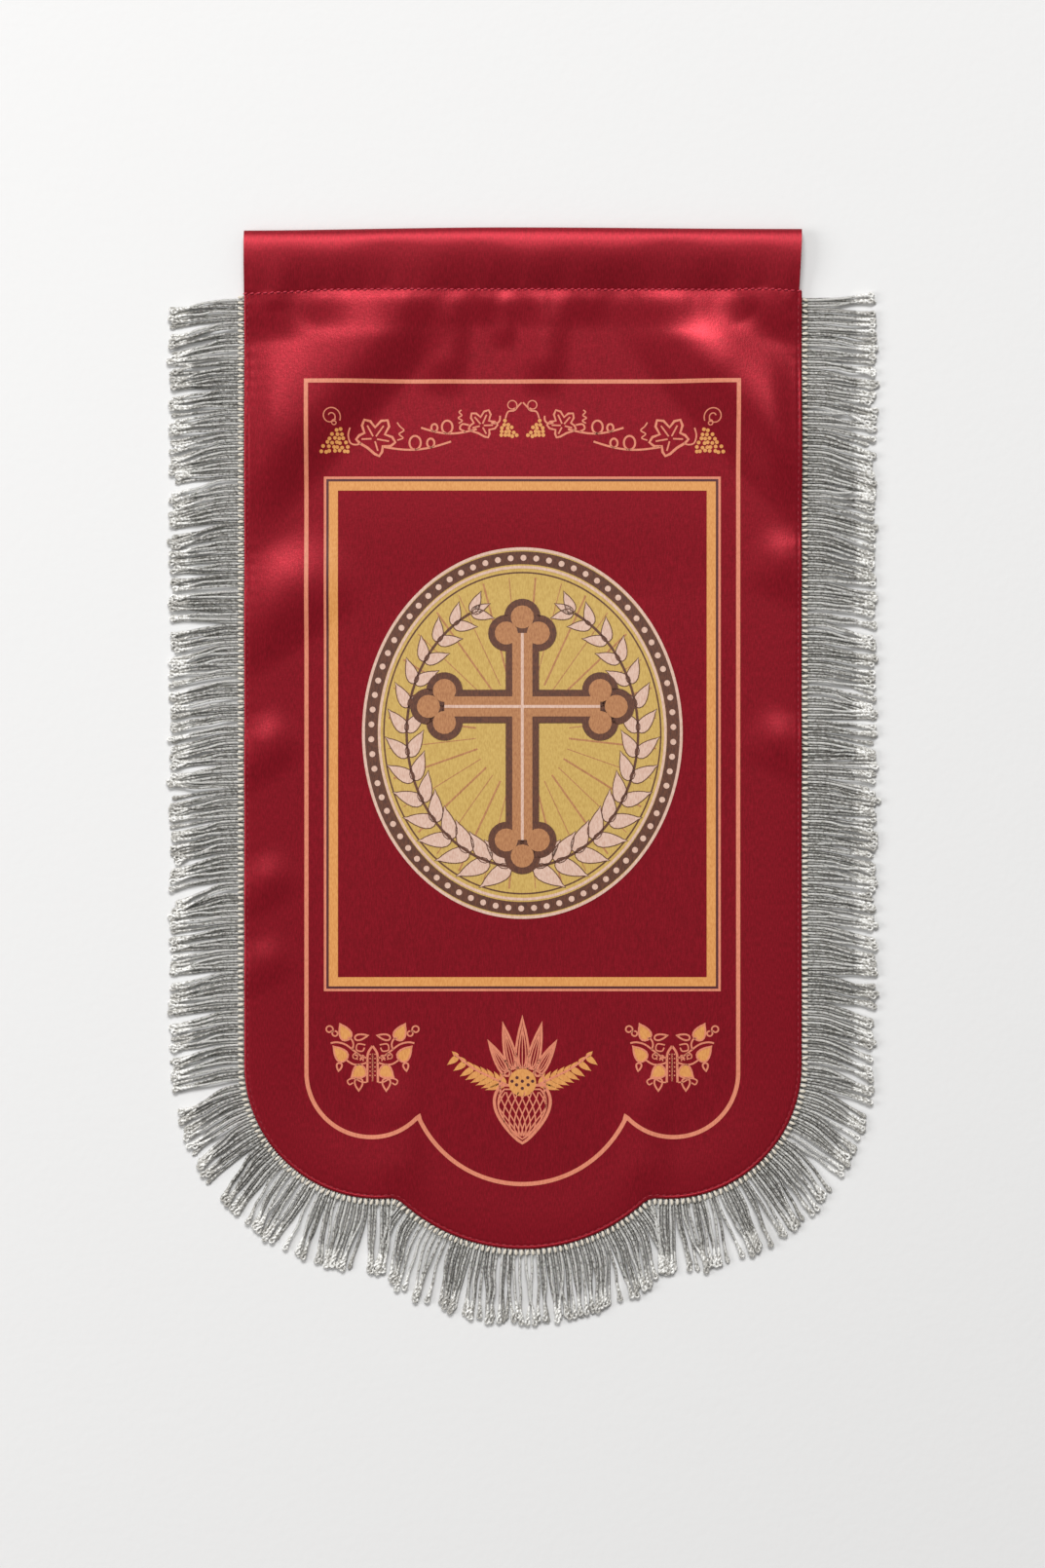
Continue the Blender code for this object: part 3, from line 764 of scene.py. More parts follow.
def laid_on_cloth(tree, geometry, into):
    """Nodes that drop flat shapes onto the cloth. What is above their middle plane becomes their top."""
    nodes, link = tree.nodes, tree.links.new
    cloth = nodes.new("GeometryNodeObjectInfo")
    place = nodes.new("ShaderNodeSeparateXYZ")
    start = nodes.new("ShaderNodeCombineXYZ")
    start.inputs["Z"].default_value = RAY_START
    ray = nodes.new("GeometryNodeRaycast")
    ray.inputs["Ray Direction"].default_value = (0, 0, -1)
    met = nodes.new("ShaderNodeSeparateXYZ")
    side, skin, height, raised = (nodes.new("ShaderNodeMath") for _ in range(4))
    side.operation, skin.operation = "SIGN", "MULTIPLY"
    height.operation = raised.operation = "ADD"
    half = nodes.new("ShaderNodeMath")
    half.operation = "MULTIPLY"
    half.inputs[1].default_value = 0.5
    lowered = nodes.new("ShaderNodeCombineXYZ")
    laid = nodes.new("GeometryNodeSetPosition")
    link(into.outputs["Cloth"], cloth.inputs["Object"])
    link(nodes.new("GeometryNodeInputPosition").outputs["Position"], place.inputs["Vector"])
    for axis in "XY":
        link(place.outputs[axis], start.inputs[axis])
        link(place.outputs[axis], lowered.inputs[axis])
    link(cloth.outputs["Geometry"], ray.inputs["Target Geometry"])
    link(start.outputs["Vector"], ray.inputs["Source Position"])
    link(ray.outputs["Hit Position"], met.inputs["Vector"])
    link(place.outputs["Z"], side.inputs[0])
    link(into.outputs["Thickness"], half.inputs[0])
    link(side.outputs["Value"], skin.inputs[0])
    link(half.outputs["Value"], skin.inputs[1])
    link(met.outputs["Z"], height.inputs[0])
    link(into.outputs["Height"], height.inputs[1])
    link(height.outputs["Value"], raised.inputs[0])
    link(skin.outputs["Value"], raised.inputs[1])
    link(raised.outputs["Value"], lowered.inputs["Z"])
    link(geometry, laid.inputs["Geometry"])
    link(lowered.outputs["Vector"], laid.inputs["Position"])
    flat = nodes.new("GeometryNodeSetShadeSmooth")
    flat.inputs["Shade Smooth"].default_value = False
    finish = nodes.new("GeometryNodeSetMaterial")
    link(laid.outputs["Geometry"], flat.inputs["Geometry"])
    link(flat.outputs["Geometry"], finish.inputs["Geometry"])
    link(into.outputs["Finish"], finish.inputs["Material"])
    return finish.outputs["Geometry"]


def print_tree(name, source, width):
    """A node tree with the sockets that every printed shape has."""
    tree = bpy.data.node_groups.new(name, "GeometryNodeTree")
    sockets = tree.interface
    sockets.new_socket(source, in_out="INPUT", socket_type="NodeSocketGeometry")
    sockets.new_socket("Cloth", in_out="INPUT", socket_type="NodeSocketObject")
    for label in (width, "Thickness", "Height"):
        sockets.new_socket(label, in_out="INPUT", socket_type="NodeSocketFloat")
    sockets.new_socket("Finish", in_out="INPUT", socket_type="NodeSocketMaterial")
    sockets.new_socket("Print", in_out="OUTPUT", socket_type="NodeSocketGeometry")
    return tree, tree.nodes.new("NodeGroupInput"), tree.nodes.new("NodeGroupOutput")


def line_tree():
    """Draw a flat line along each path and lay it on the cloth. A point's radius widens the line there."""
    tree, into, out = print_tree("Printed line", "Path", "Width")
    nodes, link = tree.nodes, tree.links.new
    upright = nodes.new("GeometryNodeSetCurveNormal")
    upright.mode = "Z_UP"
    section = nodes.new("GeometryNodeCurvePrimitiveQuadrilateral")
    section.inputs["Height"].default_value = PRINT_THICK
    drawn = nodes.new("GeometryNodeCurveToMesh")
    drawn.inputs["Fill Caps"].default_value = True
    real = nodes.new("GeometryNodeRealizeInstances")
    link(into.outputs["Path"], upright.inputs["Curve"])
    link(into.outputs["Width"], section.inputs["Width"])
    link(upright.outputs["Curve"], drawn.inputs["Curve"])
    link(section.outputs["Curve"], drawn.inputs["Profile Curve"])
    link(nodes.new("GeometryNodeInputRadius").outputs["Radius"], drawn.inputs["Scale"])
    link(drawn.outputs["Mesh"], real.inputs["Geometry"])
    link(laid_on_cloth(tree, real.outputs["Geometry"], into), out.inputs["Print"])
    return tree


def straight(corners, closed, step=2.5 * MM):
    """A path of straight runs with points a step apart. A right-angled corner is marked to be mitred."""
    path, radii = [], []
    runs = list(zip(corners, corners[1:] + corners[:1])) if closed else list(zip(corners, corners[1:]))
    for number, (start, end) in enumerate(runs):
        count = max(1, round(math.dist(start, end) / step))
        for k in range(count):
            share = k / count
            path.append((start[0] + (end[0] - start[0]) * share, start[1] + (end[1] - start[1]) * share))
            radii.append(math.sqrt(2) if k == 0 and (closed or number > 0) else 1.0)
    if not closed:
        path.append(corners[-1])
        radii.append(1.0)
    return path, radii


def arc(centre, radius, start, end, step=1.5 * MM):
    """Points round an arc, by degrees."""
    count = max(3, round(radius * math.radians(abs(end - start)) / step))
    points = []
    for k in range(count + 1):
        dx, dy = polar(start + (end - start) * k / count, radius)
        points.append((centre[0] + dx, centre[1] + dy))
    return points


def through(points, each=6):
    """A smooth curve through a few points, as Catmull and Rom drew it."""
    ends = [points[0], *points, points[-1]]
    path = []
    for a, b, c, d in zip(ends, ends[1:], ends[2:], ends[3:]):
        for k in range(each):
            t = k / each
            path.append(tuple(
                0.5 * (2 * b[i] + (c[i] - a[i]) * t + (2 * a[i] - 5 * b[i] + 4 * c[i] - d[i]) * t * t
                       + (3 * b[i] - a[i] - 3 * c[i] + d[i]) * t**3) for i in (0, 1)))
    return path + [points[-1]]


def mirrored(points):
    """The same points on the other side of the print's middle line."""
    return [(2 * PRINT_MIDDLE_X - x, y) for x, y in points]


def keep_print(piece):
    """Let a printed piece ride on the banner and count it with the panel."""
    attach(piece, "root")


def print_on_cloth(name, source, tree, width, finish, layer):
    """Run one of the print's node trees on a flat object and keep what it lays on the cloth."""
    keep_print(grown(name, source, tree, {
        "Cloth": panel, "Thickness": PRINT_THICK, "Height": PRINT_PROUD + layer * LAYER,
        "Finish": finish, **width,
    }))


def draw_lines(name, rows, width, finish, layer=0):
    """Print lines on the cloth. Rows: points, whether closed, and shares of the width for each point."""
    paths = [([(x, y, 0) for x, y in points], closed, shares) for points, closed, shares in rows]
    print_on_cloth(name, paths_object(name, paths), LINES, {"Width": width}, finish, layer)


def fill_shapes(name, outlines, finish, layer=0, rings=2):
    """Print filled shapes on the cloth, each a thin closed skin built in rings round its middle."""
    verts, faces = [], []
    for outline in outlines:
        flat = np.array(outline, float)
        middle = flat.mean(axis=0)
        count = len(flat)
        grown_rings = [middle + (flat - middle) * (ring + 1) / rings for ring in range(rings)]
        layout = np.concatenate([middle[None, :], *grown_rings])
        for side in (0.5, -0.5):
            first = len(verts)
            verts += on_cloth(layout, PRINT_PROUD + layer * LAYER + side * PRINT_THICK)
            for k in range(count):
                after = (k + 1) % count
                corners = [(first, first + 1 + k, first + 1 + after)]
                for ring in range(rings - 1):
                    a, b = first + 1 + ring * count + k, first + 1 + ring * count + after
                    corners.append((a, a + count, b + count, b))
                faces += corners if side > 0 else [corner[::-1] for corner in corners]
        under = len(layout)
        rim = len(verts) - count
        for k in range(count):
            a, b = rim + k, rim + (k + 1) % count
            faces.append((a - under, a, b, b - under))
    keep_print(object_of(name, verts, faces, finish, False))


LINES = line_tree()
inks = {name: ink(name.capitalize() + " ink", *colours) for name, colours in INKS.items()}
half, top = FRAME_HALF, FRAME_TOP_Y
(scallop_x, scallop_y), scallop_radius = FRAME_SCALLOP
left_half = straight([(0, top), (-half, top), (-half, scallop_y)], False)
left_run = arc(*FRAME_SCALLOP, 180, FRAME_CUSP[0])[1:]
lobe_run = arc(*FRAME_LOBE, FRAME_CUSP[1], 270)
left_points = left_half[0] + left_run + lobe_run
radii = left_half[1] + [1.0] * (len(left_run) - 1) + [1.35, 1.35] + [1.0] * (len(lobe_run) - 1)
left_points = [(x + PRINT_MIDDLE_X, y) for x, y in left_points]
right_points = mirrored(left_points)[-2:0:-1]
draw_lines("printed_outer_line", [(left_points + right_points, True, radii + radii[-2:0:-1])],
           FRAME_LINE, inks["peach"])
for number, (half, top, bottom, width, colour) in enumerate(BORDERS):
    corners = [(-half, top), (-half, bottom), (half, bottom), (half, top)]
    corners = [(x * MM + PRINT_MIDDLE_X, y * MM) for x, y in corners]
    points, shares = straight(corners, True)
    draw_lines(f"printed_border_{number + 1}", [(points, True, shares)], width * MM, inks[colour])


# The printed vine
#
# A common border of grapes, lobed leaves and looping tendrils across the top of the cloth, the same on
# both sides of its middle.
VINE_LINE = 0.9 * MM
LEAF_TIPS = ((-128, 0.80), (-64, 0.94), (0, 1.0), (64, 0.94), (128, 0.80))
LEAF_NOTCH = 0.50
LEAF_SHOULDER = 0.84
# Leaves: x, y, size, way they point in degrees, width of their outline
VINE_LEAVES = ((-66.5, 152.3, 10.2, 54, 1.30), (-18.2, 158.2, 7.6, 66, 1.05))
# Bunches: x and y of the first grape, rows, grapes in the first row, pitch, slant of the rows
VINE_BUNCHES = ((-82.6, 156.3, 6, 2, 2.05, -0.16), (-7.9, 160.6, 5, 1, 1.85, 0.26))
# Stems: start x and y, end x and y, sag, and where they loop and how wide
VINE_STEMS = (
    (-62.5, 148.6, -32.0, 151.0, 2.4, ((0.47, 3.1), (0.70, 2.0))),
    (-45.5, 157.2, -20.5, 156.6, 2.3, ((0.24, 1.7), (0.47, 2.9))),
)
# Tendrils: width, then points along them
VINE_TENDRILS = (
    (0.8, ((-77.4, 157.2), (-78.2, 153.8), (-77.2, 150.4), (-74.6, 149.6), (-72.4, 150.4))),
    (0.7, ((-56.2, 151.6), (-53.6, 152.6), (-55.4, 154.4), (-53.2, 156.0), (-55.0, 157.8), (-56.2, 159.6))),
    (0.7, ((-28.6, 159.2), (-27.0, 160.4), (-28.8, 161.6), (-27.2, 162.8), (-28.4, 164.2), (-27.4, 165.2))),
    (0.9, ((-14.0, 159.4), (-11.6, 159.2), (-10.2, 160.4), (-10.0, 162.6))),
    (0.8, ((-7.6, 161.4), (-6.4, 164.4), (-3.6, 165.0), (-2.0, 166.8), (-0.3, 168.6))),
    (0.9, ((-24.0, 158.4), (-27.0, 158.8), (-28.0, 156.8), (-25.6, 155.4))),
)
# Curls: x, y, radius, start in degrees, turns, share of the radius left at the end, width
VINE_CURLS = (
    (-86.0, 162.2, 4.5, -25, 1.50, 0.22, 0.60),
    (-4.6, 167.4, 2.3, -80, 1.10, 0.75, 0.55),
    (-84.4, 159.4, 1.4, 60, 1.20, 0.40, 0.55),
)


def in_metres(points):
    """Points given in millimetres from the print's middle line."""
    return [(x * MM + PRINT_MIDDLE_X, y * MM) for x, y in points]


def looped_stem(x0, y0, x1, y1, sag, loops):
    """A sagging stem that turns right round in a loop at some shares of its way."""
    path = []
    stops = [0.0, *(share for share, _ in loops), 1.0]
    for number, (a, b) in enumerate(zip(stops, stops[1:])):
        for k in range(9):
            share = a + (b - a) * k / 9
            path.append((x0 + (x1 - x0) * share, y0 + (y1 - y0) * share - sag * math.sin(math.pi * share)))
        if number < len(loops):
            radius = loops[number][1]
            x, y = x0 + (x1 - x0) * b, y0 + (y1 - y0) * b - sag * math.sin(math.pi * b)
            for k in range(20):
                turn = 2 * math.pi * k / 20
                path.append((x + 0.82 * radius * math.sin(turn), y + radius * (1 - math.cos(turn))))
    return [*path, (x1, y1)]


def curl(x, y, radius, start, turns, left):
    """A spiral that winds inwards."""
    count = round(26 * turns)
    path = []
    for k in range(count + 1):
        dx, dy = polar(start + 360 * turns * k / count, radius * (1 - (1 - left) * k / count))
        path.append((x + dx, y + dy))
    return path


def lobed_leaf(x, y, size, way):
    """The outline of a leaf with five pointed lobes, and its veins."""
    outline, veins = [], []
    for number, (turn, reach) in enumerate(LEAF_TIPS):
        before = LEAF_TIPS[number - 1][0] - (360 if number == 0 else 0)
        for angle, share in (((before + turn) / 2, LEAF_NOTCH), (turn - 15, LEAF_SHOULDER * reach),
                             (turn, reach), (turn + 15, LEAF_SHOULDER * reach)):
            dx, dy = polar(way + angle, size * share)
            outline.append((x + dx, y + dy))
        near, far = polar(way + turn, size * 0.12), polar(way + turn, size * reach * 0.70)
        veins.append([(x + near[0], y + near[1]), (x + far[0], y + far[1])])
    return outline, veins


def bunch(x, y, rows, first, pitch, slant):
    """The middles of a bunch's grapes, each row one grape longer than the row above, set unevenly."""
    chance = random.Random(rows)
    grapes = []
    for row in range(rows):
        count = first + row
        for k in range(count):
            across = (k - (count - 1) / 2 + slant * row + chance.uniform(-0.22, 0.22)) * pitch
            grapes.append((x + across, y - (row * 0.94 + chance.uniform(-0.20, 0.20)) * pitch))
    return grapes


def dot_tree():
    """Print a round dot at each point."""
    tree, into, out = print_tree("Printed dots", "Points", "Radius")
    nodes, link = tree.nodes, tree.links.new
    dot = nodes.new("GeometryNodeMeshCylinder")
    dot.inputs["Vertices"].default_value = 12
    placed = nodes.new("GeometryNodeInstanceOnPoints")
    real = nodes.new("GeometryNodeRealizeInstances")
    link(into.outputs["Radius"], dot.inputs["Radius"])
    link(into.outputs["Thickness"], dot.inputs["Depth"])
    link(into.outputs["Points"], placed.inputs["Points"])
    link(dot.outputs["Mesh"], placed.inputs["Instance"])
    link(placed.outputs["Instances"], real.inputs["Geometry"])
    link(laid_on_cloth(tree, real.outputs["Geometry"], into), out.inputs["Print"])
    return tree


def print_dots(name, points, radius, finish, layer=0):
    """Print round dots on the cloth."""
    middles = object_of(name, [(x, y, 0) for x, y in points], [], finish)
    print_on_cloth(name, middles, DOTS, {"Radius": radius}, finish, layer)


def both_sides(paths):
    """Paths in millimetres, with their mirror images, as rows for draw_lines."""
    rows = []
    for points, closed, share in paths:
        left = in_metres(points)
        for half in (left, mirrored(left)):
            rows.append((half, closed, [share] * len(points)))
    return rows


DOTS = dot_tree()
vine = [(looped_stem(*stem), False, 1.0) for stem in VINE_STEMS]
vine += [(through(points), False, width) for width, points in VINE_TENDRILS]
vine += [(curl(*spiral), False, width) for *spiral, width in VINE_CURLS]
for x, y, size, way, width in VINE_LEAVES:
    outline, veins = lobed_leaf(x, y, size, way)
    vine += [(outline, True, width)] + [(vein, False, 0.8) for vein in veins]
draw_lines("printed_vine", both_sides(vine), VINE_LINE, inks["peach"])
grapes = in_metres([grape for row in VINE_BUNCHES for grape in bunch(*row)])
print_dots("printed_grapes", grapes + mirrored(grapes), 0.86 * MM, inks["amber"])


# The corner sprays
#
# A small upright stem in each lower corner with buds, scrolls and curls on both its sides, the buds
# filled with amber inside gold outlines.
SPRAY_MIDDLES = (-67.3, 67.3)
SPRAY_Y = -125.5
SPRAY_LINE = 0.8 * MM
# One half of a spray, from its stem outwards. Buds: x, y, length, width, way they point, whether filled
SPRAY_BUDS = (
    (-12.6, 11.0, 7.4, 5.0, 118, True),
    (-14.6, 1.4, 7.6, 5.2, 132, True),
    (-6.3, -6.8, 6.6, 5.6, 215, True),
    (-6.2, -12.2, 5.2, 3.4, 270, False),
    (-5.2, 9.0, 5.6, 2.4, 12, False),
    (-15.0, -4.4, 3.4, 2.2, 262, False),
)
# Scrolls: share of the line's width, then points along them
SPRAY_SCROLLS = (
    (1.3, ((-2.4, -11.4), (-2.3, -4.0), (-2.1, 1.4), (0.0, 4.9))),
    (0.9, ((0.0, -11.0), (0.0, 1.6))),
    (1.0, ((-2.3, -0.6), (-5.4, 0.6), (-8.6, 3.0), (-12.2, 5.6), (-16.0, 6.6), (-18.8, 6.2))),
    (1.0, ((-9.2, 3.2), (-8.6, 5.6), (-9.4, 7.8), (-11.2, 8.8))),
    (1.0, ((-2.2, -2.4), (-5.6, -3.4), (-8.8, -3.2), (-11.8, -1.4))),
    (0.8, ((-3.2, 5.4), (-6.6, 5.8), (-7.2, 3.2), (-4.6, 2.6), (-3.6, 4.2))),
    (0.8, ((-2.6, -11.4), (-5.0, -11.2), (-8.4, -9.6), (-11.2, -10.6), (-10.4, -12.4), (-8.8, -11.6))),
)
# Curls: x, y, radius, start, turns, share of the radius left, share of the line's width
SPRAY_CURLS = (
    (-19.4, 12.4, 1.7, -60, 1.10, 0.70, 0.9),
    (-16.8, 10.6, 1.4, 120, 0.95, 0.70, 0.9),
    (-7.6, 0.2, 1.6, 20, 1.30, 0.35, 0.7),
    (-4.6, 0.0, 1.1, 200, 1.20, 0.40, 0.7),
)


def bud(x, y, length, width, way):
    """The outline of a bud or a plain leaf: round at its foot and pointed at its tip."""
    outline = []
    for k in range(16):
        turn = math.pi * 2 * k / 16
        out = math.cos(turn)
        side = math.sin(turn) * (1 - 0.45 * out)
        if k == 0:
            out = 1.25
        along_x, along_y = polar(way, length / 2 * out)
        across_x, across_y = polar(way + 90, width / 2 * side)
        outline.append((x + along_x + across_x, y + along_y + across_y))
    return outline


def spray_at(points, middle, side):
    """Points of half a spray, set in their place on one side of its stem."""
    return [(middle - side * x, SPRAY_Y + y) for x, y in points]


spray_lines, spray_fills, spray_dots = [], [], []
for middle in SPRAY_MIDDLES:
    for side in (1, -1):
        for x, y, length, width, way, filled in SPRAY_BUDS:
            outline = in_metres(spray_at(bud(x, y, length, width, way), middle, side))
            spray_lines.append((outline, True, [1.0] * len(outline)))
            if filled:
                spray_fills.append(outline)
        for width, points in SPRAY_SCROLLS:
            path = in_metres(spray_at(through(points), middle, side))
            spray_lines.append((path, False, [width] * len(path)))
        for *spiral, width in SPRAY_CURLS:
            path = in_metres(spray_at(curl(*spiral), middle, side))
            spray_lines.append((path, False, [width] * len(path)))
        spray_dots += in_metres(spray_at([(-1.1, 1.2 - 1.9 * k) for k in range(6)], middle, side))
        spray_dots += in_metres(spray_at([(-4.2 - 1.3 * k, -1.6 + 0.3 * k) for k in range(4)], middle, side))
fill_shapes("printed_buds", spray_fills, inks["amber"])
draw_lines("printed_sprays", spray_lines, SPRAY_LINE, inks["peach"], 1)
print_dots("printed_spray_dots", spray_dots, 0.34 * MM, inks["peach"], 1)


# The pomegranate under the middle
#
# Between the sprays stands a pomegranate with a netted fruit, a fan of five leaves on its crown and a
# feathered frond to each side, in the same two golds.
FRUIT_LINE = 0.85 * MM
FRUIT_Y = -148.6
FRUIT_HALF = 12.6
# Leaves of the crown: foot x, foot y, length, width, way they point
CROWN_LEAVES = (
    (0.0, -134.0, 24.0, 5.6, 90),
    (-3.4, -133.4, 21.5, 4.8, 103),
    (-6.2, -134.0, 16.5, 4.2, 120),
)
FROND_SPINE = ((-7.0, -138.0), (-14.0, -134.6), (-22.0, -130.6), (-30.4, -124.2))
FROND_LEAVES = 8


def fruit_edge(share):
    """The right outline of the fruit: share 0 at its crown and 1 at its pointed foot."""
    y = FRUIT_Y + 10.4 - 26.0 * share
    belly = math.sin(math.pi * min(0.14 + 0.86 * share, 1.0) ** 0.72)
    return FRUIT_HALF * belly**0.80, y


def fruit_outline(shrink=1.0):
    right = [fruit_edge(k / 22) for k in range(23)]
    closed = right + [(-x, y) for x, y in right[-2::-1]]
    return [(x * shrink, FRUIT_Y - 2.6 + (y - FRUIT_Y + 2.6) * shrink) for x, y in closed]


def net_line(number, way):
    """One line of the net, which slants across the fruit."""
    line = []
    for k in range(15):
        share = 0.12 + 0.76 * k / 14
        half, y = fruit_edge(share)
        place = number / 3.4 + way * (share - 0.5) * 1.1
        line.append((max(-1, min(1, place)) * half * 0.86, y))
    return line


def middle_rows(paths):
    """Paths in millimetres as rows for draw_lines, where they aren't mirrored."""
    return [(in_metres(points), closed, [share] * len(points)) for points, closed, share in paths]


leaves, fills = [], []
for x, y, length, width, way in CROWN_LEAVES:
    dx, dy = polar(way, length / 2)
    for share, line in ((1.0, 1.2), (0.52, 0.7)):
        leaves.append((bud(x + dx, y + dy, length * (0.4 + 0.6 * share), width * share, way), True, line))
    near, far = polar(way, length * 0.10), polar(way, length * 0.84)
    leaves.append(([(x + near[0], y + near[1]), (x + far[0], y + far[1])], False, 0.5))
spine = through(FROND_SPINE, 8)
for number in range(FROND_LEAVES):
    x, y = spine[1 + number * 3]
    for way, length, width in ((118, 5.2, 1.9), (196, 8.6, 2.6)):
        length *= 1 - 0.05 * number
        dx, dy = polar(way + 3 * number, length / 2)
        fills.append(bud(x + dx, y + dy, length, width, way + 3 * number))
fills = [in_metres(shape) for shape in fills]
fill_shapes("printed_fronds", fills + [mirrored(shape) for shape in fills], inks["amber"])
collars = (
    (through(((-9.8, -141.6), (-10.0, -136.0), (-6.4, -131.6), (0.0, -130.2), (6.4, -131.6),
              (10.0, -136.0), (9.8, -141.6))), False, 1.1),
    (spine, False, 1.1),
)
draw_lines("printed_fruit", middle_rows([(fruit_outline(), True, 1.6), (fruit_outline(0.86), True, 0.9),
                                         collars[0], *leaves[:3]])
           + both_sides([collars[1], *leaves[3:]]), FRUIT_LINE, inks["peach"], 1)
draw_lines("printed_net", middle_rows([(net_line(number, 1), False, 0.7) for number in range(-4, 5)]),
           FRUIT_LINE, inks["peach"])
draw_lines("printed_net_back", middle_rows([(net_line(number, -1), False, 0.7) for number in range(-4, 5)]),
           FRUIT_LINE, inks["peach"], 2)
fill_shapes("printed_crown", [in_metres(arc((0.0, -137.0), 6.2, 0, 345, 1.2))], inks["amber"], 2)
seeds = in_metres([(0.0, -139.6), (0.0, -136.4), (-2.4, -134.8), (-2.6, -138.0), (-4.6, -136.4)])
print_dots("printed_seeds", seeds + mirrored(seeds[2:]), 0.75 * MM, inks["maroon"], 3)


# The medallion
#
# The middle of the cloth is printed with an upright oval medallion: a beaded brown border round a gold
# ground, a wreath of pale leaves, and a broad brown cross with round buds at the ends of its arms.
MEDALLION_Y = 20.0
OVAL_STRETCH = 1.16
MEDALLION_INKS = {
    "gold": ((0.600, 0.400, 0.105), (0.500, 0.310, 0.070)),
    "brown": ((0.130, 0.040, 0.016), (0.070, 0.020, 0.009)),
    "tan": ((0.480, 0.215, 0.085), (0.360, 0.140, 0.050)),
    "cream": ((0.720, 0.500, 0.400), (0.600, 0.370, 0.280)),
}
# Ovals, from the outside in: half width, width of the line, ink
OVAL_LINES = (
    (71.4, 1.30, "cream"),
    (67.9, 5.80, "brown"),
    (64.3, 1.20, "cream"),
    (62.2, 0.70, "brown"),
)
BEAD_COUNT = 74
RAY_COUNT = 32
WREATH_HALF = 52.0
WREATH_LEAVES = 15
# The cross: half width of the bar, top and bottom of the upright, height of the bar, over the middle
CROSS_REACH = (35.0, 45.0, -48.0, 12.0)
CROSS_LAYERS = ((15.0, 8.2, "brown"), (9.0, 5.2, "tan"), (1.3, 0.0, "cream"))


def oval(half, start=0.0, end=360.0, count=96):
    """Points of the medallion's oval at a half width, in millimetres."""
    points = []
    for k in range(count):
        dx, dy = polar(start + (end - start) * k / count, half)
        points.append((dx, MEDALLION_Y + dy * OVAL_STRETCH))
    return points


def leaf_on_oval(half, degrees, lean, length, width):
    """A leaf whose foot is on an oval and which leans away from the oval's own direction."""
    x, y = polar(degrees, half)
    way = degrees + 90 + lean
    dx, dy = polar(way, length / 2)
    return bud(x + dx, MEDALLION_Y + y * OVAL_STRETCH + dy, length, width, way)


inks |= {name: ink(name.capitalize() + " ink", *colours) for name, colours in MEDALLION_INKS.items()}
fill_shapes("medallion_ground", [in_metres(oval(71.0))], inks["gold"], 0, 14)
for colour in ("brown", "cream"):
    rings = [(half, width) for half, width, used in OVAL_LINES if used == colour]
    rows = middle_rows([(oval(half, count=200), True, width) for half, width in rings])
    draw_lines("medallion_ovals_" + colour, rows, 1.0 * MM, inks[colour], 1 if colour == "brown" else 2)
beads_at = in_metres(oval(67.9, 2.0, 362.0, BEAD_COUNT))
print_dots("medallion_beads", beads_at, 1.35 * MM, inks["cream"], 3)
rays = []
for number in range(RAY_COUNT):
    (x0, y0), (x1, y1) = [polar(360 * (number + 0.5) / RAY_COUNT, reach) for reach in (21.0, 60.5)]
    steps = [k / 12 for k in range(13)]
    ray = [(x0 + (x1 - x0) * step, MEDALLION_Y + (y0 + (y1 - y0) * step) * OVAL_STRETCH) for step in steps]
    rays.append((ray, False, 1.0 if number % 2 else 0.5))
draw_lines("medallion_rays", middle_rows(rays), 0.8 * MM, inks["tan"], 1)
wreath = []
for number in range(WREATH_LEAVES):
    degrees = -84 + 148 * number / (WREATH_LEAVES - 1)
    size = 1.12 - 0.030 * number
    for lean, length, width in ((40, 13.5, 6.2), (-40, 13.5, 6.2), (0, 12.0, 5.0))[:3 if number == 14 else 2]:
        wreath.append(in_metres(leaf_on_oval(WREATH_HALF, degrees, lean, length * size, width * size)))
stem = oval(WREATH_HALF, -90, 66, 60)
fill_shapes("medallion_wreath", wreath + [mirrored(leaf) for leaf in wreath], inks["cream"], 2)
edges = [(leaf, True, [0.40] * len(leaf)) for leaf in wreath + [mirrored(leaf) for leaf in wreath]]
draw_lines("medallion_wreath_lines", edges + both_sides([(stem, False, 1.1)]), 1.0 * MM, inks["brown"], 3)
half, top, bottom, bar = CROSS_REACH
for number, (width, bud_radius, colour) in enumerate(CROSS_LAYERS):
    upright, _ = straight([(0.0, MEDALLION_Y + bottom), (0.0, MEDALLION_Y + top)], False, 2.5)
    cross_bar, _ = straight([(-half, MEDALLION_Y + bar), (half, MEDALLION_Y + bar)], False, 2.5)
    draw_lines(f"medallion_cross_{number + 1}", middle_rows([(upright, False, 1.0)]), width * MM,
               inks[colour], 4 + 2 * number)
    ends = ((0, top, 90), (0, bottom, 270), (-half, bar, 180), (half, bar, 0))
    buds = []
    for x, y, way in ends:
        for turn in (-90, 0, 90):
            dx, dy = polar(way + turn, 7.2)
            if bud_radius:
                buds.append(in_metres(arc((x + dx, MEDALLION_Y + y + dy), bud_radius, 0, 350, 2.0)))
    bar_row = middle_rows([(cross_bar, False, 1.0)])
    draw_lines(f"medallion_bar_{number + 1}", bar_row, width * MM, inks[colour], 4.5 + 2 * number)
    if buds:
        fill_shapes(f"medallion_buds_{number + 1}", buds, inks[colour], 4.2 + 2 * number)


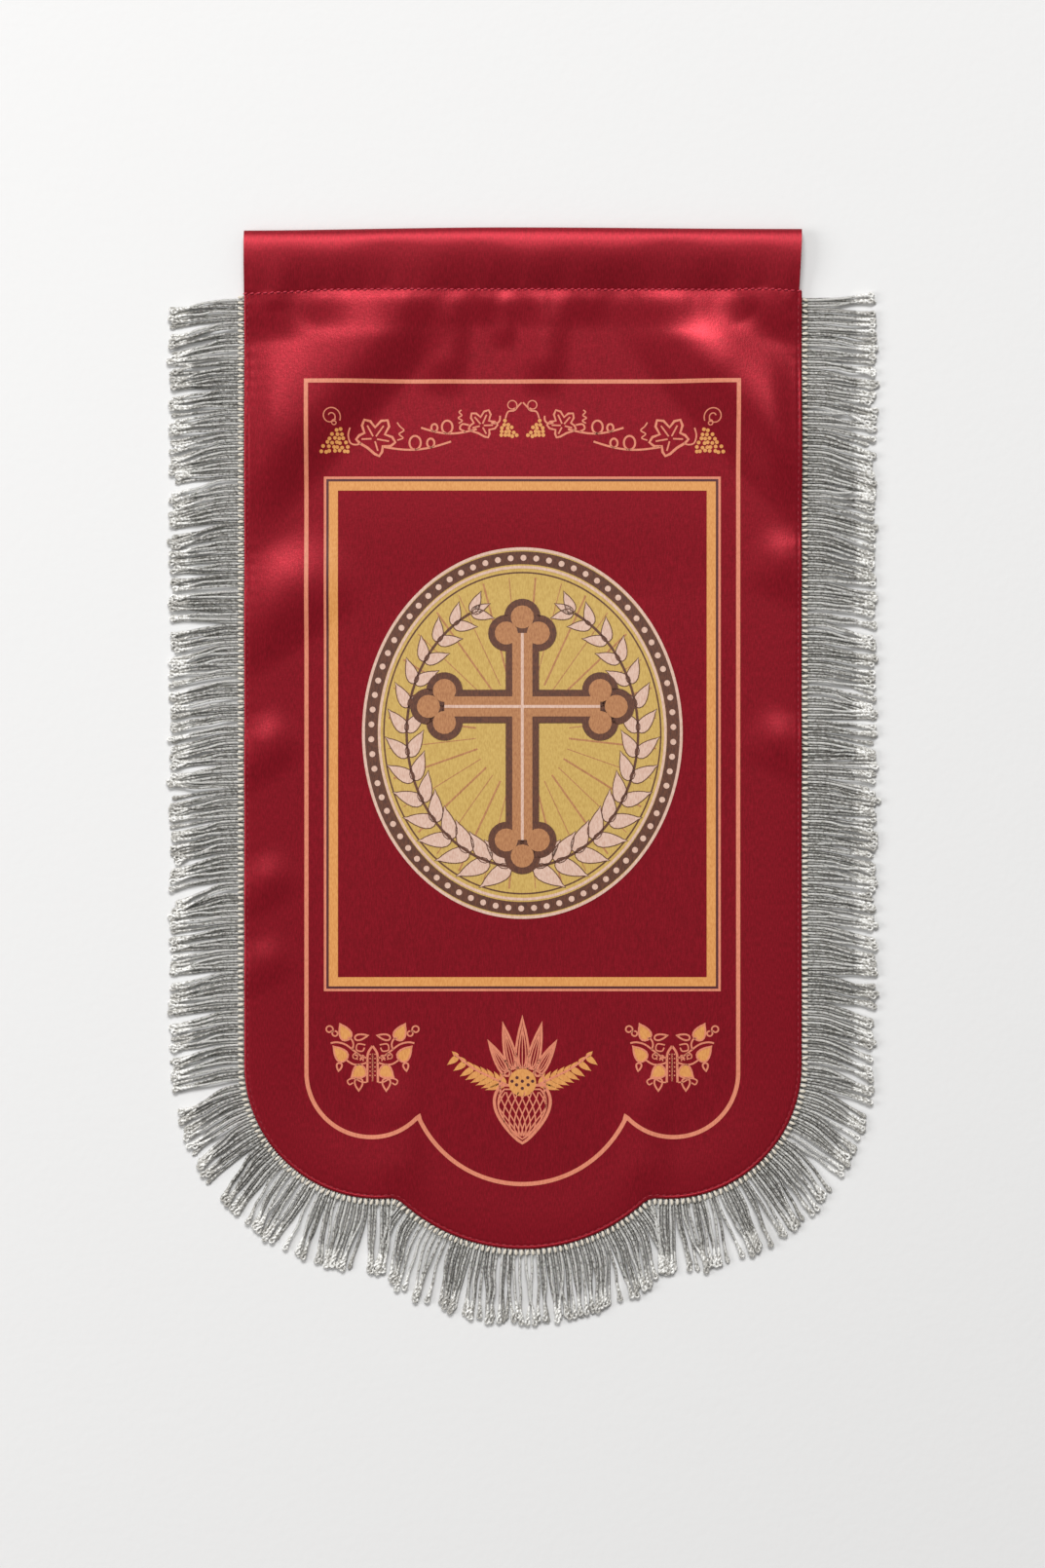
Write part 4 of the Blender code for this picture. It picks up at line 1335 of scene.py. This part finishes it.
# The bullion fringe
#
# Cords of silver metal thread, each a thread doubled back on itself so that it twists into two plies
# with a small loop at its end. They hang from a narrow heading that is sewn under the cloth's edge, and
# lie out over the table in clumps, as they fell.
CORD_PITCH = 2.52 * MM
CORD_LENGTH = 0.0350
CORD_UNDER = 0.8 * MM
CORD_REST = 1.30 * MM
CORD_OVER = 1.10 * MM
UNDER_REST = 0.94 * MM
PLY_RADIUS = 0.62 * MM
PLY_OFFSET = 0.60 * MM
TWIST_LENGTH = 3.4 * MM
CORD_STEP = 0.60 * MM
PLY_SIDES = 5
UNDER_STEP = 1.25 * MM
UNDER_RADIUS = 0.62 * MM
UNDER_OFFSET = 0.42 * MM
UNDER_SIDES = 4
# The loop at a cord's end: its length, half widths as shares from its tip, and the share at its foot
LOOP_LENGTH = 2.1 * MM
LOOP_SHAPE = ((0.12, 0.55), (0.40, 0.95), (0.70, 0.72))
LOOP_FOOT = 0.62
STRIP_TURN = 0.42 * MM
SILVER = ((0.430, 0.414, 0.380), (0.820, 0.808, 0.772), (0.950, 0.942, 0.915))
# The under cords take a darker copy of the silver: painted shade for the shadow of the upper cords on them.
PAINTED_SHADE_SILVER = ((0.330, 0.316, 0.286), (0.620, 0.606, 0.570), (0.800, 0.786, 0.752))

# How the cords fall: stretch, share of the under cords, clumps' pull, turn in degrees and sizes
FALL = {
    "left": (0.95, (0.6, 2.6), 4.5, (2, 3, 4, 4, 5, 6)),
    "scallop_left": (0.80, (1.3, 3.8), 5.0, (3, 4, 4, 5, 6, 7)),
    "lobe": (0.62, (1.2, 3.8), 4.5, (2, 3, 4, 4, 5, 6)),
    "scallop_right": (0.80, (1.5, 4.0), 5.0, (3, 4, 5, 6, 7)),
    "right": (0.95, (0.6, 2.4), 4.0, (2, 3, 4, 4, 5, 6)),
}

# Way the cords lie: shares along each stretch, from the left seam round to the right, and degrees from +X
LIE = {
    "left": (
        (0.000, 185), (0.016, 192), (0.120, 190), (0.200, 195), (0.280, 191), (0.345, 186),
        (0.360, 188), (0.420, 180), (0.432, 193), (0.482, 188), (0.494, 195), (0.555, 189),
        (0.567, 195), (0.640, 185), (0.652, 195), (0.752, 187), (0.764, 196), (0.845, 188),
        (0.857, 194), (0.920, 188), (0.932, 194), (1.000, 196),
    ),
    "scallop_left": (
        (0.000, 196), (0.130, 204), (0.165, 211), (0.370, 228), (0.580, 243), (0.615, 249),
        (0.780, 251), (0.815, 257), (1.000, 264),
    ),
    "lobe": (
        (0.000, 264), (0.080, 260), (0.200, 257), (0.330, 257), (0.365, 264), (0.480, 269),
        (0.690, 271), (0.725, 282), (0.780, 279), (0.815, 286), (0.900, 282), (1.000, 277),
    ),
    "scallop_right": (
        (0.000, 277), (0.120, 281), (0.235, 283), (0.270, 289), (0.350, 290), (0.385, 296),
        (0.540, 306), (0.575, 313), (0.655, 316), (0.690, 323), (0.800, 328), (0.835, 334),
        (1.000, 339),
    ),
    "right": (
        (0.000, 340), (0.060, 341), (0.072, 347), (0.105, 343), (0.117, 349), (0.175, 342),
        (0.187, 354), (0.290, 346), (0.325, 347), (0.337, 353), (0.370, 349), (0.382, 356),
        (0.430, 350), (0.442, 354), (0.508, 346), (0.520, 351), (0.570, 345), (0.582, 350),
        (0.628, 345), (0.640, 350), (0.722, 343), (0.734, 349), (0.785, 343), (0.797, 347),
        (0.820, 344), (0.832, 351), (0.972, 352), (0.988, 359), (1.000, 373),
    ),
}


def lie_at(stretch, share):
    """The direction of the cords at a share of a stretch."""
    rows = LIE[stretch]
    for (at0, degrees0), (at1, degrees1) in zip(rows, rows[1:]):
        if share <= at1:
            return degrees0 + (degrees1 - degrees0) * (share - at0) / (at1 - at0)
    return rows[-1][1]


def fallen_cord(x, y, normal, lie, length, chance, points_each, base, lift, loose):
    """The middle line of one cord. It leaves the heading straight out and then falls to its own side."""
    bend = chance.gauss(0, 6.0 * loose)
    sway, sway_at = chance.uniform(0.0, 8.0) * loose, chance.uniform(0, 6.28)
    wave = chance.uniform(0.0018, 0.0032)
    step = length / (points_each - 1)
    path = []
    for k in range(points_each):
        run = k * step
        ease = float(smooth((run - 0.0045) / 0.0105))
        degrees = normal + (lie - normal) * (0.12 * min(run / 0.004, 1) + 0.88 * ease)
        degrees += bend * (run / length) ** 1.5 + sway * math.sin(run / wave + sway_at) * ease
        rise = float(smooth((run - 0.0045) / 0.008) * (1 - 0.55 * smooth((run - 0.020) / 0.014)))
        path.append((x, y, base + lift * rise))
        dx, dy = polar(degrees, step)
        x, y = x + dx, y + dy
    return path, False, None


def cord_paths(stretch, pieces, chance):
    """The middle lines of one stretch's upper and under cords. They fall in clumps whose tips draw
    together, and the under cords are the fringe's second side, half a pitch further on."""
    total = length_of(pieces)
    count = round(total / CORD_PITCH)
    under_share, pulls, turn, sizes = FALL[stretch]
    upper, under = [], []
    clump_left, clump_size, clump_pull, clump_turn = 0, 1, 0.0, 0.0
    for number in range(count):
        if clump_left == 0:
            clump_size = clump_left = chance.choice(sizes)
            clump_pull = chance.uniform(*pulls)
            clump_turn = chance.uniform(-turn, turn)
        place = clump_size - clump_left - (clump_size - 1) / 2
        clump_left -= 1
        share = (number + 0.5) / count
        x, y, normal = walk(pieces, total * share, -CORD_UNDER)
        lie = lie_at(stretch, share) - place * clump_pull - clump_turn
        length = CORD_LENGTH + chance.gauss(0, 0.0006) - abs(chance.gauss(0, 0.0010))
        lift = chance.uniform(0.35, 1.0) * CORD_OVER
        fall = lie + chance.gauss(0, 2.4)
        upper.append(fallen_cord(x, y, normal, fall, length, chance, 12, CORD_REST, lift, 1.0))
        if chance.random() > under_share:
            continue
        x, y, normal = walk(pieces, min(total * (number + 1.0) / count, total - CORD_UNDER), -CORD_UNDER)
        length = CORD_LENGTH - abs(chance.gauss(0, 0.0012)) - 0.0004
        fall = lie - 0.5 * clump_pull + chance.gauss(0, 3.0)
        under.append(fallen_cord(x, y, normal, fall, length, chance, 9, UNDER_REST, 0.0, 0.7))
    return upper, under


def cord_tree():
    """Twist two plies round each path, drawn out into a small flat loop at its end."""
    tree = bpy.data.node_groups.new("Twisted silver cord", "GeometryNodeTree")
    sockets = tree.interface
    sockets.new_socket("Path", in_out="INPUT", socket_type="NodeSocketGeometry")
    for name in ("Step", "Ply radius", "Ply offset", "Twist length", "Loop length"):
        sockets.new_socket(name, in_out="INPUT", socket_type="NodeSocketFloat")
    sockets.new_socket("Sides", in_out="INPUT", socket_type="NodeSocketInt")
    sockets.new_socket("Finish", in_out="INPUT", socket_type="NodeSocketMaterial")
    sockets.new_socket("Cords", in_out="OUTPUT", socket_type="NodeSocketGeometry")
    nodes, link = tree.nodes, tree.links.new
    into, out = nodes.new("NodeGroupInput"), nodes.new("NodeGroupOutput")

    def calculate(operation, *values):
        node = nodes.new("ShaderNodeMath")
        node.operation = operation
        for socket, value in zip(node.inputs, values):
            if isinstance(value, (int, float)):
                socket.default_value = value
            else:
                link(value, socket)
        return node.outputs["Value"]

    def vector(operation, first, second):
        node = nodes.new("ShaderNodeVectorMath")
        node.operation = operation
        link(first, node.inputs[0])
        link(second, node.inputs["Scale"] if operation == "SCALE" else node.inputs[1])
        return node.outputs["Vector"]

    round_path = nodes.new("GeometryNodeCurveSplineType")
    round_path.spline_type = "CATMULL_ROM"
    steps = nodes.new("GeometryNodeResampleCurve")
    steps.mode = "LENGTH"
    upright = nodes.new("GeometryNodeSetCurveNormal")
    upright.mode = "Z_UP"
    link(into.outputs["Path"], round_path.inputs["Curve"])
    link(round_path.outputs["Curve"], steps.inputs["Curve"])
    link(into.outputs["Step"], steps.inputs["Length"])
    link(steps.outputs["Curve"], upright.inputs["Curve"])
    place = nodes.new("GeometryNodeSplineParameter").outputs["Length"]
    whole = nodes.new("GeometryNodeSplineLength").outputs["Length"]
    twisted = calculate("SUBTRACT", whole, into.outputs["Loop length"])
    wound = calculate("SUBTRACT", calculate("MINIMUM", place, twisted), twisted)
    turns = calculate("DIVIDE", wound, into.outputs["Twist length"])
    angle = calculate("MULTIPLY", turns, 2 * math.pi)
    from_end = calculate("DIVIDE", calculate("SUBTRACT", whole, place), into.outputs["Loop length"])
    loop = nodes.new("ShaderNodeFloatCurve")
    shape = loop.mapping.curves[0]
    for at, value in LOOP_SHAPE:
        shape.points.new(at, value)
    shape.points[0].location = (0.0, 0.0)
    shape.points[-1].location = (1.0, LOOP_FOOT)
    loop.mapping.update()
    link(from_end, loop.inputs["Value"])
    offset = calculate("MULTIPLY", loop.outputs["Value"], into.outputs["Ply offset"])
    offset = calculate("DIVIDE", offset, LOOP_FOOT)
    normal = nodes.new("GeometryNodeInputNormal").outputs["Normal"]
    tangent = nodes.new("GeometryNodeInputTangent").outputs["Tangent"]
    upward = vector("CROSS_PRODUCT", tangent, normal)
    across = vector("SCALE", normal, calculate("MULTIPLY", calculate("COSINE", angle), offset))
    above = vector("SCALE", upward, calculate("MULTIPLY", calculate("SINE", angle), offset))
    away = vector("ADD", across, above)
    marked = nodes.new("GeometryNodeStoreNamedAttribute")
    marked.data_type = "FLOAT"
    marked.domain = "POINT"
    marked.inputs["Name"].default_value = "run"
    link(place, marked.inputs["Value"])
    tone = nodes.new("FunctionNodeRandomValue")
    tone.data_type = "FLOAT"
    tone.inputs["Seed"].default_value = 4
    toned = nodes.new("GeometryNodeStoreNamedAttribute")
    toned.data_type = "FLOAT"
    toned.domain = "CURVE"
    toned.inputs["Name"].default_value = "cord"
    link(upright.outputs["Curve"], toned.inputs["Geometry"])
    link(tone.outputs[1], toned.inputs["Value"])
    link(toned.outputs["Geometry"], marked.inputs["Geometry"])
    section = nodes.new("GeometryNodeCurvePrimitiveCircle")
    link(into.outputs["Sides"], section.inputs["Resolution"])
    link(into.outputs["Ply radius"], section.inputs["Radius"])
    both = nodes.new("GeometryNodeJoinGeometry")
    for side in (1, -1):
        moved = nodes.new("GeometryNodeSetPosition")
        way = nodes.new("ShaderNodeVectorMath")
        way.operation = "SCALE"
        way.inputs["Scale"].default_value = side
        link(away, way.inputs[0])
        link(marked.outputs["Geometry"], moved.inputs["Geometry"])
        link(way.outputs["Vector"], moved.inputs["Offset"])
        ply = nodes.new("GeometryNodeCurveToMesh")
        ply.inputs["Fill Caps"].default_value = True
        link(moved.outputs["Geometry"], ply.inputs["Curve"])
        link(section.outputs["Curve"], ply.inputs["Profile Curve"])
        link(ply.outputs["Mesh"], both.inputs["Geometry"])
    shaded = nodes.new("GeometryNodeSetShadeSmooth")
    link(both.outputs["Geometry"], shaded.inputs["Geometry"])
    real = nodes.new("GeometryNodeRealizeInstances")
    link(shaded.outputs["Geometry"], real.inputs["Geometry"])
    finish = nodes.new("GeometryNodeSetMaterial")
    link(real.outputs["Geometry"], finish.inputs["Geometry"])
    link(into.outputs["Finish"], finish.inputs["Material"])
    link(finish.outputs["Geometry"], out.inputs["Cords"])
    return tree


def silver_finish(name, dark, mid, light):
    """Flat metal strip wound round a core. One noise gives it fine bumps and also paints light and dark
    flecks into its colour as painted glints; a bump makes it dark between its turns.
    """
    material, tree, shader = new_material(name, mid, 0.40, 0.20)
    shader.inputs["Sheen Weight"].default_value = 0.35
    shader.inputs["Sheen Roughness"].default_value = 0.45
    # This noise raises the strip's fine bumps and also paints its glints into the colour as light and dark
    # flecks: painted highlights.
    grain_and_painted_glints = noise(tree, 820, 2)
    cord = tree.nodes.new("ShaderNodeAttribute")
    cord.attribute_name = "cord"
    tone = tree.nodes.new("ShaderNodeMath")
    tone.operation = "MULTIPLY_ADD"
    tone.inputs[1].default_value = 0.22
    run = tree.nodes.new("ShaderNodeAttribute")
    run.attribute_name = "run"
    # The colour is a little darker over the last part of each cord, towards its loop.
    tip = tree.nodes.new("ShaderNodeMapRange")
    for socket, value in (("From Min", 0.020), ("From Max", 0.034), ("To Min", 0.0), ("To Max", 0.10)):
        tip.inputs[socket].default_value = value
    darker_to_end = tree.nodes.new("ShaderNodeMath")
    darker_to_end.operation = "SUBTRACT"
    tree.links.new(run.outputs["Fac"], tip.inputs["Value"])
    tree.links.new(grain_and_painted_glints, darker_to_end.inputs[0])
    tree.links.new(tip.outputs["Result"], darker_to_end.inputs[1])
    tree.links.new(cord.outputs["Fac"], tone.inputs[0])
    tree.links.new(darker_to_end.outputs["Value"], tone.inputs[2])
    # Painted glints: the flecks run from dark to light silver in the base colour.
    colour = ramp(tree, tone.outputs["Value"], ((0.46, dark), (0.57, mid), (0.70, light)))
    tree.links.new(colour, shader.inputs["Base Color"])
    winding = tree.nodes.new("ShaderNodeMath")
    winding.operation = "MULTIPLY"
    winding.inputs[1].default_value = 2 * math.pi / STRIP_TURN
    turns = tree.nodes.new("ShaderNodeMath")
    turns.operation = "SINE"
    tree.links.new(run.outputs["Fac"], winding.inputs[0])
    tree.links.new(winding.outputs["Value"], turns.inputs[0])
    wound = bump(tree, shader, turns.outputs["Value"], 0.00006, 0.6)
    bump(tree, shader, grain_and_painted_glints, 0.00025, 0.8, wound)
    return material


silver = silver_finish("Silver bullion", *SILVER)
# Second silver for the under cords, darker throughout: painted shade.
painted_shade_silver = silver_finish("Shaded silver bullion", *PAINTED_SHADE_SILVER)
CORDS = cord_tree()
fringe_chance = random.Random(11)
for stretch, pieces in STRETCHES.items():
    upper, under = cord_paths(stretch, pieces, fringe_chance)
    layers = (
        ("fringe_cords_", upper, silver, CORD_STEP, PLY_RADIUS, PLY_OFFSET, PLY_SIDES),
        ("fringe_undercords_", under, painted_shade_silver, UNDER_STEP, UNDER_RADIUS, UNDER_OFFSET, UNDER_SIDES),
    )
    for name, paths, finish, step, radius, offset, sides in layers:
        cords = grown(name + stretch, paths_object("cord_paths", paths), CORDS, {
            "Step": step, "Ply radius": radius, "Ply offset": offset,
            "Twist length": TWIST_LENGTH, "Loop length": LOOP_LENGTH, "Sides": sides, "Finish": finish,
        })
        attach(cords, "root")
        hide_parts("fringe_" + stretch)


# The fringe's heading
#
# A narrow woven tape under the cords' roots, with a cream thread bound over the root of each cord, just
# outside the cloth's edge, that holds it down.
TAPE_OUT = 2.6 * MM
TAPE_UNDER = 4.0 * MM
TAPE_THICK = 0.6 * MM
TAPE_COLOUR = (0.52, 0.49, 0.44)
BINDING_OUT = 1.55 * MM
BINDING_HEIGHT = 2.20 * MM
CREAM = (0.700, 0.640, 0.540)

tape_finish, _, _ = new_material("Heading tape", TAPE_COLOUR, 0.8)
inner, outer = edge_points(-TAPE_UNDER, 2.4 * MM), edge_points(TAPE_OUT, 2.4 * MM)
tape_verts = []
for (x0, y0), (x1, y1) in zip(inner, outer):
    tape_verts += [(x0, y0, 0), (x0, y0, TAPE_THICK), (x1, y1, TAPE_THICK), (x1, y1, 0)]
tape_faces = [(3, 2, 1, 0), tuple(len(tape_verts) - k for k in (4, 3, 2, 1))]
for k in range(0, len(tape_verts) - 4, 4):
    tape_faces += [(k + a, k + b, k + b + 4, k + a + 4) for a, b in ((0, 1), (1, 2), (2, 3), (3, 0))]
tape = object_of("heading_tape", tape_verts, tape_faces, tape_finish, False)
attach(tape, "root")

cream, cream_tree, _ = new_material("Cream thread", CREAM, 0.55)
bump(cream_tree, cream_tree.nodes["Principled BSDF"], noise(cream_tree, 2600, 2), 0.0002, 0.6)
binding = [(x, y, BINDING_HEIGHT) for x, y in edge_points(BINDING_OUT, 1.2 * MM)]
beads = grown("heading_stitches", paths_object("heading_row", [(binding, False, None)]), STITCHES, {
    "Pitch": CORD_PITCH, "Length": 3.2 * MM, "Width": 1.45 * MM, "Height": 0.8 * MM,
    "Turn": 1.50, "Uneven": 0.30, "Finish": cream,
})
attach(beads, "root")
